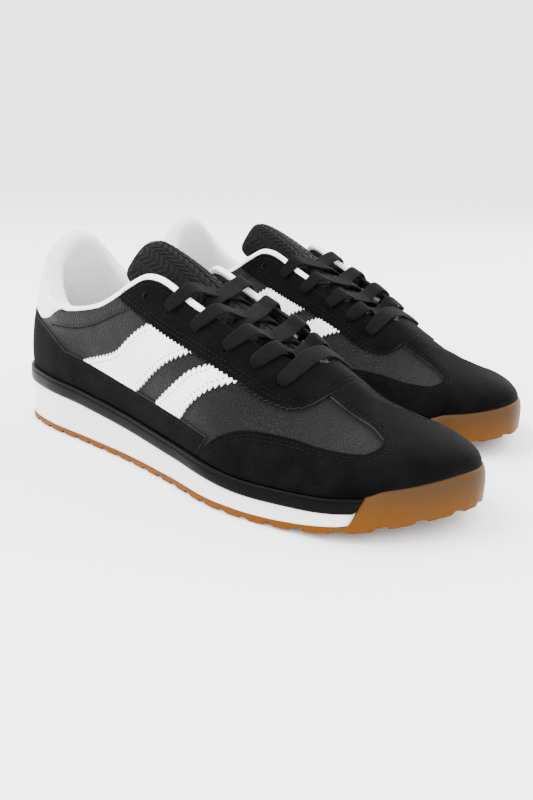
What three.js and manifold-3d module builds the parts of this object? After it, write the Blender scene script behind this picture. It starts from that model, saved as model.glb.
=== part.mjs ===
// A pair of low-top lace-up trainers: rubber cup sole, leather quarters, suede overlays.
// Millimetres. +X points to the toes, +Y to the wearer's left, +Z up, soles standing on z = 0.
// A shoe is drawn around its own last: station q runs from the heel (-148) to the toe (148),
// v climbs the upper from the sole (0) to the ridge over the instep (1), and a layer is an
// offset along the surface's normal. The left shoe mirrors the right one.
import * as THREE from 'three';
import { mergeVertices } from 'three/addons/utils/BufferGeometryUtils.js';
import Module from 'manifold-3d';

const wasm = await Module();
wasm.setup();

const TOE_TIP = 145;
const HEEL_TIP = -148;
const GAP = 0.3;
const STAGGER = 38;
const SHOE_PITCH = 123.3;

const END = 148;
const TOE_CENTRE = 88;
const HEEL_CENTRE = -98;
const TOE_SWEEP = END - TOE_CENTRE;
const HEEL_SWEEP = END + HEEL_CENTRE;

const GUM = 3.2;
const WALL = 4;
const BAND = 5;
const UPPER_INSET = 3.5;
const BUMPER_START = [107, 112];
const LIFT_ROOM = 17;
const TOE_FALL = 0.53;

const LEATHER = [-1.2, 0];
const OVERLAY = [1.6, 2.7];
const BAR = [0.8, 1.8];
const STIFFENER = [-3.7, -2.6];
const LINING = [-6, -5.1];
const FOAM = [-8.8, -4.2];
const COLLAR_LINING = [-10.6, -9.6];
const TONGUE = [-10.8, -7.8];
const LACE_INSIDE = -6.4;
const LACE_OUTSIDE = 4.2;
const LACE_THICKNESS = 1.5;
const LACE_WIDTH = 8;
const EYELET_RADIUS = 3.4;
const HINGE_Q = -15;
const FLAP_GAP = 1.2;

// The sole's outline from the toe along the outer side, seen from above: [x, y].
const OUTLINE = [
  [TOE_TIP, 9], [134, -19.5], [112, -43], [80, -52.5], [45, -55], [10, -48.5],
  [-30, -42.5], [-70, -39.5], [-108, -37], [-136.5, -27], [HEEL_TIP, 0], [-136.5, 27],
  [-108, 36], [-70, 35], [-30, 34], [10, 39.5], [45, 47.5], [80, 50.5], [112, 46], [134, 32],
];

// A smooth function through [x, y] points.
function through(...points) {
  const slope = points.map((_, i) => {
    const a = points[Math.max(i - 1, 0)];
    const b = points[Math.min(i + 1, points.length - 1)];
    return (b[1] - a[1]) / (b[0] - a[0]);
  });
  return (at) => {
    const x = THREE.MathUtils.clamp(at, points[0][0], points.at(-1)[0]);
    let i = 0;
    while (i < points.length - 2 && x > points[i + 1][0]) i += 1;
    const h = points[i + 1][0] - points[i][0];
    const t = (x - points[i][0]) / h;
    const rise = points[i + 1][1] - points[i][1];
    const ease = t * t * (3 - 2 * t);
    return points[i][1] + rise * ease + h * t * (1 - t) * (slope[i] * (1 - t) - slope[i + 1] * t);
  };
}

const centreY = through([-145, 0], [-98, 0], [-40, 1], [20, 4], [88, 6], [145, 6]);
const soleTop = through([-148, 33.4], [-140, 33.2], [-98, 30.8], [-73, 29.2], [-21, 24.4],
  [5, 22.2], [35, 20.3], [61, 18.2], [88, 18.3], [98, 18.7], [106, 19.5], [112, 20.3], [117, 22.5],
  [127, 24], [136, 25.6], [143, 26.9], [148, 27.4]);
const bandHeight = through([-148, 9.3], [0, 7.8], [60, 7.2], [148, 7]);
const ridge = through([-98, 150], [-60, 128], [-24, 106], [0, 92], [30, 78.5], [60, 62.5],
  [88, 48]);
const tongueRidge = through([-98, 119], [-53, 117], [-24, 106], [0, 92], [30, 78.5],
  [60, 62.5], [88, 48]);
const bulgeHeight = through([-148, 37], [-98, 35], [-60, 33.5], [-24, 34], [30, 22], [60, 14], [88, 11],
  [148, 10]);
const bulgeWidth = through([-148, 4], [-140, 4], [-98, 2.5], [-60, 1], [-24, 0], [30, -0.5], [60, 0],
  [88, 0.5], [148, 1]);
const shoulder = through([-148, 0.2], [-140, 0.22], [-120, 0.48], [-98, 0.76], [-60, 0.85],
  [-24, 0.95], [30, 0.76], [60, 0.4], [88, 0.33], [118, 0.43], [140, 0.49], [148, 0.5]);

// Edges of the upper's pieces, as v at a station.
const rim = through([-148, 0.52], [-128, 0.515], [-114, 0.5], [-110, 0.46], [-108, 0.41], [-103, 0.35],
  [-97, 0.32], [-91, 0.31], [-76, 0.34], [-60, 0.4], [-46, 0.49], [-36, 0.59], [-28, 0.68],
  [-18, 0.73], [0, 0.75], [30, 0.77], [50, 0.8], [60, 0.88], [64, 1]);
const tabEdge = through([-148, 0.23], [-125, 0.23], [-109, 0.24], [-99, 0.28], [-92, 0.31]);
const counterEdge = through([-148, 0.22], [-125, 0.22], [-109, 0.23], [-103, 0.2], [-93, 0.15],
  [-88, 0.13], [-82, 0.07], [-78, 0]);
const railEdge = through([-88, 0.145], [-57, 0.14], [-26, 0.13], [14, 0.15], [39, 0.16]);
const toeEdge = through([32, 0], [34, 0.05], [40, 0.14], [46, 0.23], [54, 0.31], [61, 0.35],
  [75, 0.395], [87, 0.415], [100, 0.42], [110, 0.43], [116, 0.46], [119, 0.51], [120, 0.56]);
const stemEdge = through([80, 0.76], [98, 0.74], [108, 0.72], [114, 0.69], [118, 0.63], [120, 0.56]);
const eyestayEdge = through([-46, 0.49], [-39, 0.475], [-16, 0.48], [13, 0.51], [42, 0.53],
  [54, 0.52], [62, 0.53], [69, 0.56], [74, 0.64], [76, 0.74], [78, 0.88], [80, 1]);
const bindingDepth = through([-60, -10.6], [-52, -10.2], [-42, -5], [-36, -5]);

// The white bars: the rear and front edges of each, as [q, v] from the rail up to the eyestay.
const BARS = {
  bar_rear: {
    back: [[-71, 0.155], [-54, 0.2], [-39, 0.28], [-28, 0.38], [-19, 0.465]],
    front: [[-25, 0.145], [-8, 0.28], [2, 0.4], [11, 0.505]],
  },
  bar_front: {
    back: [[-5, 0.165], [5, 0.31], [13, 0.41], [23, 0.515]],
    front: [[14, 0.165], [19, 0.23], [26, 0.33], [35, 0.44], [43, 0.52]],
  },
};

// The eyelets of one side, as [q, v] from the lowest pair up to the unused top pair.
const EYELETS = [[58, 0.64], [44, 0.65], [30, 0.64], [10, 0.62], [-8, 0.61], [-25, 0.58]];

const outline = new THREE.CatmullRomCurve3(
  OUTLINE.map(([x, y]) => new THREE.Vector3(x, y, 0)), true, 'catmullrom', 0.5,
).getPoints(OUTLINE.length * 12).slice(0, -1);

// How far the outline lies from (x, y) in the direction (dx, dy).
function reach(x, y, dx, dy) {
  let nearest = Infinity;
  outline.forEach((a, i) => {
    const b = outline[(i + 1) % outline.length];
    const ex = b.x - a.x;
    const ey = b.y - a.y;
    const cross = dx * ey - dy * ex;
    const along = ((a.x - x) * ey - (a.y - y) * ex) / cross;
    const share = ((a.x - x) * dy - (a.y - y) * dx) / cross;
    if (along > 0 && share >= 0 && share <= 1) nearest = Math.min(nearest, along);
  });
  return nearest;
}

// A point of the sole's outline, moved in by inset: side is -1 outer, 1 inner.
function edgePoint(q, side, inset, z) {
  const past = Math.max(q - TOE_CENTRE, 0) / TOE_SWEEP + Math.max(HEEL_CENTRE - q, 0) / HEEL_SWEEP;
  const turn = past * Math.PI / 2;
  const x = THREE.MathUtils.clamp(q, HEEL_CENTRE, TOE_CENTRE);
  const dx = Math.sign(q) * Math.sin(turn);
  const dy = side * Math.cos(turn);
  const r = reach(x, centreY(x), dx, dy) - inset;
  return new THREE.Vector3(x + dx * r, centreY(x) + dy * r, z);
}

// A point of the upper's surface. v past 1 or q past an end carries on down the other side.
function surfacePoint(q, v, side, ridgeLine) {
  if (v > 1) return surfacePoint(q, 2 - v, -side, ridgeLine);
  if (Math.abs(q) > END) return surfacePoint(Math.sign(q) * 2 * END - q, v, -side, ridgeLine);
  const x = THREE.MathUtils.clamp(q, HEEL_CENTRE, TOE_CENTRE);
  const foot = edgePoint(q, side, UPPER_INSET, 0);
  const middle = new THREE.Vector3(x, centreY(x), 0);
  const out = foot.clone().sub(middle);
  const width = out.length();
  out.normalize();
  const base = soleTop(q) + GAP;
  const rho = [width, width + bulgeWidth(q), width * shoulder(q), 0];
  const fall = TOE_FALL * rho[2] * Math.max(out.x, 0);
  const high = [base, base + bulgeHeight(q), ridgeLine(x) - fall, ridgeLine(x)];
  const u = 1 - v;
  const share = [u ** 3, 3 * v * u * u, 3 * v * v * u, v ** 3];
  const r = share.reduce((sum, s, i) => sum + s * rho[i], 0);
  const z = share.reduce((sum, s, i) => sum + s * high[i], 0);
  return middle.addScaledVector(out, r).setZ(z);
}

// A point offset from the upper's surface along its normal.
function onUpper(q, v, side, offset, ridgeLine = ridge) {
  const stepQ = 0.5;
  const stepV = 0.004;
  const at = (place, climb) => surfacePoint(place, climb, side, ridgeLine);
  const alongQ = at(q + stepQ, v).sub(at(q - stepQ, v));
  const alongV = at(q, v + stepV).sub(at(q, v - stepV));
  if (alongQ.length() < 1e-4) {
    const slope = ridgeLine(TOE_CENTRE) - ridgeLine(TOE_CENTRE - 1);
    alongQ.set(1, 0, slope);
    alongV.set(0, -side, 0);
  }
  const normal = alongQ.cross(alongV).normalize().multiplyScalar(-side);
  return at(q, v).addScaledVector(normal, offset);
}

// The v of a line that runs that many millimetres above the rim, or below it when negative.
function nearRim(q, distance) {
  const step = 0.01;
  const above = surfacePoint(q, rim(q) + step, -1, ridge);
  const below = surfacePoint(q, rim(q) - step, -1, ridge);
  return rim(q) + (distance * 2 * step) / above.distanceTo(below);
}

const underRim = (q) => nearRim(q, -3);

// A closed skin between two sheets: point(s, t, level) with s and t from 0 to 1, level 0 or 1.
// An edge of s where the sheet folds onto itself is left unwalled.
function skin(point, countS, countT, wallStart = true, wallEnd = true) {
  const positions = [];
  const index = [];
  const at = (i, j, level) => (level * (countS + 1) + i) * (countT + 1) + j;
  for (let level = 0; level < 2; level += 1) {
    for (let i = 0; i <= countS; i += 1) {
      for (let j = 0; j <= countT; j += 1) positions.push(...point(i / countS, j / countT, level).toArray());
    }
  }
  const quad = (a, b, c, d) => index.push(a, b, c, a, c, d);
  for (let i = 0; i < countS; i += 1) {
    for (let j = 0; j < countT; j += 1) {
      quad(at(i, j, 1), at(i + 1, j, 1), at(i + 1, j + 1, 1), at(i, j + 1, 1));
      quad(at(i, j, 0), at(i, j + 1, 0), at(i + 1, j + 1, 0), at(i + 1, j, 0));
    }
    quad(at(i, 0, 0), at(i + 1, 0, 0), at(i + 1, 0, 1), at(i, 0, 1));
    quad(at(i, countT, 1), at(i + 1, countT, 1), at(i + 1, countT, 0), at(i, countT, 0));
  }
  for (let j = 0; j < countT; j += 1) {
    if (wallStart) quad(at(0, j, 1), at(0, j + 1, 1), at(0, j + 1, 0), at(0, j, 0));
    if (wallEnd) quad(at(countS, j, 0), at(countS, j + 1, 0), at(countS, j + 1, 1), at(countS, j, 1));
  }
  return tidy(positions, index);
}

// Merges shared vertices, drops empty triangles and turns the faces outwards.
function tidy(positions, index) {
  let geometry = new THREE.BufferGeometry();
  geometry.setAttribute('position', new THREE.Float32BufferAttribute(positions, 3));
  geometry.setIndex(index);
  geometry = mergeVertices(geometry, 1e-3);
  const p = geometry.attributes.position;
  const corner = (k) => new THREE.Vector3().fromBufferAttribute(p, k);
  const old = geometry.index.array;
  const kept = [];
  let volume = 0;
  for (let i = 0; i < old.length; i += 3) {
    const [a, b, c] = [old[i], old[i + 1], old[i + 2]];
    if (a === b || b === c || c === a) continue;
    kept.push(a, b, c);
    volume += corner(a).dot(corner(b).cross(corner(c)));
  }
  if (volume < 0) {
    for (let i = 0; i < kept.length; i += 3) [kept[i + 1], kept[i + 2]] = [kept[i + 2], kept[i + 1]];
  }
  geometry.setIndex(kept);
  return geometry;
}

function toSolid(geometry) {
  const bare = geometry.clone();
  bare.deleteAttribute('normal');
  bare.deleteAttribute('uv');
  const merged = mergeVertices(bare, 1e-3);
  return new wasm.Manifold(new wasm.Mesh({
    numProp: 3,
    vertProperties: new Float32Array(merged.attributes.position.array),
    triVerts: new Uint32Array(merged.index.array),
  }));
}

function toGeometry(solid) {
  const mesh = solid.getMesh();
  return tidy(Array.from(mesh.vertProperties), Array.from(mesh.triVerts));
}

function cut(geometry, cutters) {
  return toGeometry(cutters.reduce((rest, cutter) => rest.subtract(toSolid(cutter)), toSolid(geometry)));
}

const lerp = THREE.MathUtils.lerp;

// A patch of one side of the upper between stations, from the edge low(q) to the edge high(q).
function sidePatch(side, from, to, low, high, layer, countQ, countV) {
  return skin((s, t, level) => {
    const q = lerp(from, to, s);
    return onUpper(q, lerp(low(q), high(q), t), side, layer[level]);
  }, countQ, countV);
}

// A patch that goes round the heel, from one side's station to the other side's.
function heelPatch(station, low, high, layer, countQ, countV) {
  return skin((s, t, level) => {
    const turn = 2 * s - 1;
    const q = lerp(-END, station, Math.abs(turn));
    return onUpper(q, lerp(low(q), high(q), t), turn < 0 ? -1 : 1, layer[level]);
  }, countQ, countV);
}

// A patch over the instep from station to station; it closes round the toe when to is the end.
function dome(from, to, low, layer, countQ, countV, ridgeLine = ridge) {
  return skin((s, t, level) => {
    const q = lerp(from, to, s);
    const across = 2 * t - 1;
    const v = 1 - Math.abs(across) * (1 - low(q));
    return onUpper(q, v, across < 0 ? -1 : 1, layer[level], ridgeLine);
  }, countQ, countV, true, to < END);
}

const flat = (v) => () => v;

function heelCounter() {
  return heelPatch(-78.5, flat(0), counterEdge, OVERLAY, 16, 2);
}

// The white tab over the heel; it ends where it runs out between the counter and the rim.
function heelTab() {
  return heelPatch(-100, (q) => tabEdge(q) + 0.006, underRim, OVERLAY, 18, 2);
}

// The throat opening as a cutter through every layer.
function throatCutter() {
  return dome(-60, 64, (q) => Math.min(rim(q) - 0.01, 0.999), [-14, 12], 12, 6);
}

function eyeletCutters() {
  return EYELETS.flatMap(([q, v]) => [-1, 1].map((side) => {
    const outer = onUpper(q, v, side, 4);
    const axis = outer.clone().sub(onUpper(q, v, side, -6));
    const punch = new THREE.CylinderGeometry(EYELET_RADIUS, EYELET_RADIUS, axis.length(), 4);
    punch.applyQuaternion(new THREE.Quaternion().setFromUnitVectors(
      new THREE.Vector3(0, 1, 0), axis.clone().normalize(),
    ));
    punch.translate(...outer.addScaledVector(axis, -0.5).toArray());
    return punch;
  }));
}

const toeSpring = (x) => (x > 62 ? 10.5 * ((x - 62) / 83) ** 2 : 0);
const heelBevel = (x) => (x < -125 ? 2 * ((-125 - x) / 20) ** 2 : 0);
const ground = (x) => toeSpring(x) + heelBevel(x);

// A layer of the sole between two heights, from the outer edge to the inner one.
function soleLayer(inset, low, high, countQ, endLow = END, endHigh = END) {
  return skin((s, t, level) => {
    const q = lerp(-END, level ? endHigh : endLow, s);
    const outer = edgePoint(q, -1, inset(q), 0);
    const inner = edgePoint(q, 1, inset(q), 0);
    const p = outer.lerp(inner, t);
    return p.setZ((level ? high : low)(q, p.x));
  }, countQ, 1);
}

function outsole() {
  const sheet = soleLayer(flat(0.4), (_, x) => ground(x), (_, x) => ground(x) + GUM, 20);
  const bumper = skin((s, t, level) => {
    const turn = 2 * s - 1;
    const q = lerp(END, lerp(...BUMPER_START, t), Math.abs(turn));
    const p = edgePoint(q, turn < 0 ? -1 : 1, level ? 0.4 : WALL, 0);
    return p.setZ(lerp(ground(p.x) + 1, soleTop(q), t));
  }, 12, 1);
  return toGeometry(toSolid(sheet).add(toSolid(bumper)));
}

function midsole() {
  const under = (_, x) => ground(x) + GUM + 4 * GAP;
  const underBand = (q) => soleTop(q) - bandHeight(q) - 0.4;
  const wide = soleLayer(flat(0.4), under, underBand, 18, BUMPER_START[0] - 2, BUMPER_START[0]);
  const core = soleLayer(flat(BAND + 1.3), under, (q) => soleTop(q) - 0.6, 20);
  return toGeometry(toSolid(wide).add(toSolid(core)));
}

function midsoleBand() {
  return skin((s, t, level) => {
    const turn = 2 * s - 1;
    const q = lerp(-END, BUMPER_START[0] + 1.4 + 2.8 * t, Math.abs(turn));
    const p = edgePoint(q, turn < 0 ? -1 : 1, level ? 0 : BAND, 0);
    return p.setZ(lerp(soleTop(q) - bandHeight(q) + GAP, soleTop(q), t));
  }, 44, 1);
}

function lastingBoard() {
  const inset = through([-148, 6.6], [60, 6.6], [88, 10], [148, 13]);
  return soleLayer(inset, (_, x) => soleTop(x) + GAP, (_, x) => soleTop(x) + 1.9, 18);
}

function sockliner() {
  const inset = through([-148, LIFT_ROOM], [-60, LIFT_ROOM], [-20, 12.5], [60, 15], [88, 19],
    [148, 24]);
  return soleLayer(inset, (_, x) => soleTop(x) + 2.6, (_, x) => soleTop(x) + 5.9, 18);
}

function quarter(side) {
  const underEyestay = (q) => Math.min(eyestayEdge(q) + 0.045, 0.985);
  const top = (q) => (q < -40 ? underRim(q) : underEyestay(q));
  return sidePatch(side, -END + 0.5, END - 0.5, flat(0), top, LEATHER, 28, 4);
}

function vampLining() {
  const foot = through([40, 0.08], [60, 0.17], [80, 0.24]);
  const wholeVamp = dome(-40, END, foot, LINING, 16, 8);
  return cut(wholeVamp, [dome(-60, 72, flat(0.49), [-14, 12], 6, 6)]);
}

function toeOverlay() {
  const cover = dome(31, END, flat(0.02), OVERLAY, 11, 8);
  const windows = [-1, 1].map((side) => skin((s, t, level) => {
    const q = lerp(30, 120, s);
    const beyondStem = q < 82 ? 1.03 : stemEdge(q);
    const low = q < 32 ? -0.05 : toeEdge(q);
    return onUpper(q, lerp(low, beyondStem, t), side, level ? 12 : -10);
  }, 15, 3));
  return cut(cover, windows);
}

function eyestay() {
  const saddle = dome(-45, 78, (q) => eyestayEdge(q) + 0.003, OVERLAY, 10, 8);
  return cut(saddle, [throatCutter(), ...eyeletCutters()]);
}

function toplineBinding() {
  return skin((s, t, level) => {
    const turn = 2 * s - 1;
    const q = lerp(-END, 10, Math.abs(turn));
    const depth = level ? OVERLAY[1] : bindingDepth(q);
    return onUpper(q, nearRim(q, lerp(1.2, 3.6, t)), turn < 0 ? -1 : 1, depth);
  }, 44, 1);
}

function bar(side, edges) {
  const back = new THREE.SplineCurve(edges.back.map(([q, v]) => new THREE.Vector2(q, v)));
  const front = new THREE.SplineCurve(edges.front.map(([q, v]) => new THREE.Vector2(q, v)));
  return skin((s, t, level) => {
    const place = back.getPoint(t).lerp(front.getPoint(t), s);
    return onUpper(place.x, place.y, side, BAR[level]);
  }, 2, 4);
}

function rail(side) {
  return skin((s, t, level) => {
    const back = lerp(-77, -87.2, t);
    const ahead = lerp(31, 37.5, t);
    const q = lerp(back, ahead, s);
    return onUpper(q, railEdge(q) * t, side, OVERLAY[level]);
  }, 12, 1);
}

function tongue() {
  return dome(HINGE_Q + FLAP_GAP, 92, flat(0.62), TONGUE, 8, 6);
}

// The free top of the tongue, clear of the throat's edges all the way up.
function tongueFlap() {
  const low = through([-52, 0.58], [-46, 0.6], [-42, 0.66], [-36, 0.74], [-16, 0.76]);
  return dome(-52, HINGE_Q, low, TONGUE, 4, 6, tongueRidge);
}

// A flat ribbon along points; across gives each point's width direction, widths its width.
function ribbon(points, across, widths) {
  const positions = [];
  const index = [];
  points.forEach((p, i) => {
    const next = points[Math.min(i + 1, points.length - 1)];
    const ahead = next.clone().sub(points[Math.max(i - 1, 0)]).normalize();
    const wide = across[i].clone().addScaledVector(ahead, -across[i].dot(ahead)).normalize();
    const thick = ahead.clone().cross(wide);
    [[-1, -1], [1, -1], [1, 1], [-1, 1]].forEach(([a, b]) => {
      const corner = p.clone().addScaledVector(wide, a * widths[i] / 2);
      positions.push(...corner.addScaledVector(thick, b * LACE_THICKNESS / 2).toArray());
    });
  });
  for (let i = 0; i + 1 < points.length; i += 1) {
    for (let k = 0; k < 4; k += 1) {
      const [a, b] = [4 * i + k, 4 * i + (k + 1) % 4];
      index.push(a, b, b + 4, a, b + 4, a + 4);
    }
  }
  const last = positions.length / 3 - 4;
  index.push(0, 2, 1, 0, 3, 2, last, last + 1, last + 2, last, last + 2, last + 3);
  return tidy(positions, index);
}

// A place on the lace: a point near the upper, the ribbon's width there and which way it lies.
function lacePlace(q, v, side, offset, width, lengthwise = false) {
  const point = onUpper(q, v, side, offset);
  const beside = lengthwise ? onUpper(q, v - 0.01, side, offset) : onUpper(q + 1, v, side, offset);
  return { point, width, across: beside.sub(point).normalize() };
}

// One crossing of the lace, from inside an eyelet to inside the next one up on the other side.
function crossing(k, side) {
  const [q, v] = EYELETS[k];
  const [nextQ, nextV] = EYELETS[k + 1];
  const along = (share) => lerp(q, nextQ, share);
  const lift = side < 0 ? 2.3 : 0;
  return [
    lacePlace(q, v, side, LACE_INSIDE, 3.4),
    lacePlace(along(0.22), rim(along(0.22)) - 0.01, side, LACE_INSIDE, 6.5),
    lacePlace(along(0.36), 0.9, side, LACE_INSIDE + 0.6 + lift / 2, 7.5),
    lacePlace(along(0.5), 1, side, LACE_INSIDE + 0.1 + lift, LACE_WIDTH),
    lacePlace(along(0.64), 0.9, -side, LACE_INSIDE + 3 + lift / 2, LACE_WIDTH),
    lacePlace(along(0.8), rim(along(0.8)) + 0.04, -side, LACE_OUTSIDE, 7.5),
    lacePlace(along(0.97), nextV + 0.035, -side, LACE_OUTSIDE, 5),
    lacePlace(nextQ, nextV + 0.003, -side, LACE_OUTSIDE - 0.3, 3.4),
    lacePlace(nextQ, nextV, -side, 0.6, 3),
  ];
}

// Half of the lace, from an eyelet of the lowest pair up to its tail inside the shoe.
function laceHalf(start) {
  const places = [];
  const used = EYELETS.length - 2;
  for (let k = 0; k < used; k += 1) places.push(...crossing(k, k % 2 ? -start : start));
  const side = used % 2 ? -start : start;
  const [q, v] = EYELETS[used];
  places.push(lacePlace(q, v, side, LACE_INSIDE, 3.4));
  places.push(lacePlace(q + 3, v - 0.04, side, LACE_INSIDE - 1.2, 5));
  for (let step = 1; step <= 4; step += 1) {
    places.push(lacePlace(q + 3 + step * 11, v - 0.08 - step * 0.04, side, LACE_INSIDE - 3.4, 6, true));
  }
  return places;
}

function laceBar() {
  const [q, v] = EYELETS[0];
  return [
    lacePlace(q, v, -1, 0.6, 3),
    lacePlace(q, v + 0.003, -1, LACE_OUTSIDE - 0.3, 3.4),
    lacePlace(q, v + 0.035, -1, LACE_OUTSIDE, 5),
    lacePlace(q, 0.88, -1, LACE_OUTSIDE, 7.5),
    lacePlace(q, 1, 1, LACE_OUTSIDE, LACE_WIDTH),
    lacePlace(q, 0.88, 1, LACE_OUTSIDE, 7.5),
    lacePlace(q, v + 0.035, 1, LACE_OUTSIDE, 5),
    lacePlace(q, v + 0.003, 1, LACE_OUTSIDE - 0.3, 3.4),
    lacePlace(q, v, 1, 0.6, 3),
  ];
}

function lace() {
  const places = [...laceHalf(-1).reverse(), ...laceBar(), ...laceHalf(1)];
  let before = places[0].across;
  const across = places.map((place) => {
    before = place.across.clone().multiplyScalar(place.across.dot(before) < 0 ? -1 : 1);
    return before;
  });
  return ribbon(places.map((p) => p.point), across, places.map((p) => p.width));
}

// The moulded tip that ends the lace's tail.
function aglet(start) {
  const places = laceHalf(start);
  const end = places.at(-1).point;
  const ahead = end.clone().sub(places.at(-2).point).normalize();
  const length = 18;
  const tip = new THREE.CylinderGeometry(1.1, 1.3, length, 8);
  tip.applyQuaternion(new THREE.Quaternion().setFromUnitVectors(new THREE.Vector3(0, 1, 0), ahead));
  tip.translate(...end.clone().addScaledVector(ahead, length / 2 + GAP).toArray());
  return tip;
}

const SUEDE = { color: 0x161617, roughness: 0.95, metalness: 0 };
const GRAIN = { color: 0x252526, roughness: 0.55, metalness: 0 };
const WHITE = { color: 0xf3f3f1, roughness: 0.5, metalness: 0 };
const KNIT = { color: 0xf2f2f0, roughness: 0.9, metalness: 0 };
const RUBBER = { color: 0x2a2b2d, roughness: 0.6, metalness: 0 };
const TAN = { color: 0xb57a45, roughness: 0.55, metalness: 0 };
const BOARD = { color: 0xcfc9ba, roughness: 0.9, metalness: 0 };
const CORD = { color: 0x18181a, roughness: 0.9, metalness: 0 };

// Every piece of one shoe: name, geometry, finish.
function pieces() {
  const sides = [['lateral', -1], ['medial', 1]];
  return [
    ['outsole', outsole(), TAN],
    ['midsole', midsole(), WHITE],
    ['midsole_band', midsoleBand(), RUBBER],
    ['lasting_board', lastingBoard(), BOARD],
    ['sockliner', sockliner(), KNIT],
    ...sides.map(([name, side]) => [`quarter_${name}`, quarter(side), GRAIN]),
    ['vamp_lining', vampLining(), KNIT],
    ['toe_puff', dome(110, END, flat(0.22), STIFFENER, 5, 10), BOARD],
    ['heel_stiffener', heelPatch(-80, flat(0.08), flat(0.27), STIFFENER, 14, 2), BOARD],
    ['collar_foam', heelPatch(-42, flat(0.09), underRim, FOAM, 20, 2), KNIT],
    ['collar_lining', heelPatch(-42, flat(0.08), underRim, COLLAR_LINING, 20, 2), KNIT],
    ['toe_overlay', toeOverlay(), SUEDE],
    ...sides.map(([name, side]) => [`rail_${name}`, rail(side), SUEDE]),
    ['heel_counter', heelCounter(), SUEDE],
    ['heel_tab', heelTab(), WHITE],
    ['eyestay', eyestay(), SUEDE],
    ['topline_binding', toplineBinding(), WHITE],
    ...Object.entries(BARS).flatMap(([bars, edges]) => sides.map(
      ([name, side]) => [`${bars}_${name}`, bar(side, edges), WHITE],
    )),
    ['tongue', tongue(), GRAIN],
    ['tongue_flap', tongueFlap(), GRAIN],
    ['lace', lace(), CORD],
    ['aglet_lateral', aglet(-1), CORD],
    ['aglet_medial', aglet(1), CORD],
  ];
}

function shoe(foot, parts) {
  const group = new THREE.Group();
  parts.forEach(([name, geometry, finish]) => {
    const mesh = new THREE.Mesh(geometry, new THREE.MeshStandardMaterial(finish));
    mesh.name = `${foot}_${name}`;
    group.add(mesh);
  });
  return group;
}

const parts = pieces();
const right = shoe('right', parts);
const left = shoe('left', parts);
left.scale.y = -1;
left.position.set(-STAGGER, SHOE_PITCH, 0);

// The pair stands with the middle of its box over the origin.
const pair = new THREE.Group();
pair.add(right, left);
pair.updateMatrixWorld(true);
const middle = new THREE.Box3().setFromObject(pair).getCenter(new THREE.Vector3());
pair.position.set(-middle.x, -middle.y, 0);

export default pair;
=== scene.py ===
import math

import bpy
import numpy as np
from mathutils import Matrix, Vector


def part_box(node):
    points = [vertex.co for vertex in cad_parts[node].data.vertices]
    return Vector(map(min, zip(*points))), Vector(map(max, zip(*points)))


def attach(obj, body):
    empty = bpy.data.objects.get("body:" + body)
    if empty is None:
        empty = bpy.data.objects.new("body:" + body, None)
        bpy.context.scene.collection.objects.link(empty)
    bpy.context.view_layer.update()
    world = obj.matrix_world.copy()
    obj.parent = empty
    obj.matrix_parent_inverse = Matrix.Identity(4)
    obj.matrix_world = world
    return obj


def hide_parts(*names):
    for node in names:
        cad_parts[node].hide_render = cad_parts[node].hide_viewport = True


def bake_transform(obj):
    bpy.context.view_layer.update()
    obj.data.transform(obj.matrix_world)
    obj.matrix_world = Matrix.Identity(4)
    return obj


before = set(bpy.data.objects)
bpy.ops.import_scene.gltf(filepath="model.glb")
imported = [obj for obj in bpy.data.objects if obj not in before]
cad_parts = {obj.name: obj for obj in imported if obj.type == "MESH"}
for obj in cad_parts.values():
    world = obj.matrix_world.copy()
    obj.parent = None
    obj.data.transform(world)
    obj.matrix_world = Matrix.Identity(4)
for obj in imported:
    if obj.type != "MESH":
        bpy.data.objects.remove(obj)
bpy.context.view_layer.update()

FEET = ("right", "left")
SIDES = (("lateral", -1), ("medial", 1))

# ---------------------------------------------------------------- the shoe's surface, in mm
# Station q runs from the heel (-148) to the toe (148), v climbs the upper from the sole (0)
# to the ridge over the instep (1), side is -1 outer and 1 inner.
END = 148
TOE_CENTRE = 88
HEEL_CENTRE = -98
TOE_FALL = .53
UPPER_INSET = 3.5
GAP = .3
GUM = 3.2
OUTSOLE_INSET = .4
HEEL_TIP = -148
HALF_PITCH = 61.65
SWEEP_STRETCH = 1.46

OUTLINE = [
    (145, 9), (134, -19.5), (112, -43), (80, -52.5), (45, -55), (10, -48.5), (-30, -42.5),
    (-70, -39.5), (-108, -37), (-136.5, -27), (-148, 0), (-136.5, 27), (-108, 36), (-70, 35),
    (-30, 34), (10, 39.5), (45, 47.5), (80, 50.5), (112, 46), (134, 32),
]


def through(*points):
    """A smooth function through (x, y) points, held level beyond them."""
    x, y = np.array(points, float).T
    slope = np.empty(len(x))
    slope[1:-1] = (y[2:] - y[:-2]) / (x[2:] - x[:-2])
    slope[0] = (y[1] - y[0]) / (x[1] - x[0])
    slope[-1] = (y[-1] - y[-2]) / (x[-1] - x[-2])

    def f(at):
        at = np.clip(np.asarray(at, float), x[0], x[-1])
        i = np.clip(np.searchsorted(x, at, side="left") - 1, 0, len(x) - 2)
        h = x[i + 1] - x[i]
        t = (at - x[i]) / h
        bend = h * t * (1 - t) * (slope[i] * (1 - t) - slope[i + 1] * t)
        return y[i] + (y[i + 1] - y[i]) * t * t * (3 - 2 * t) + bend

    return f


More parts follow.
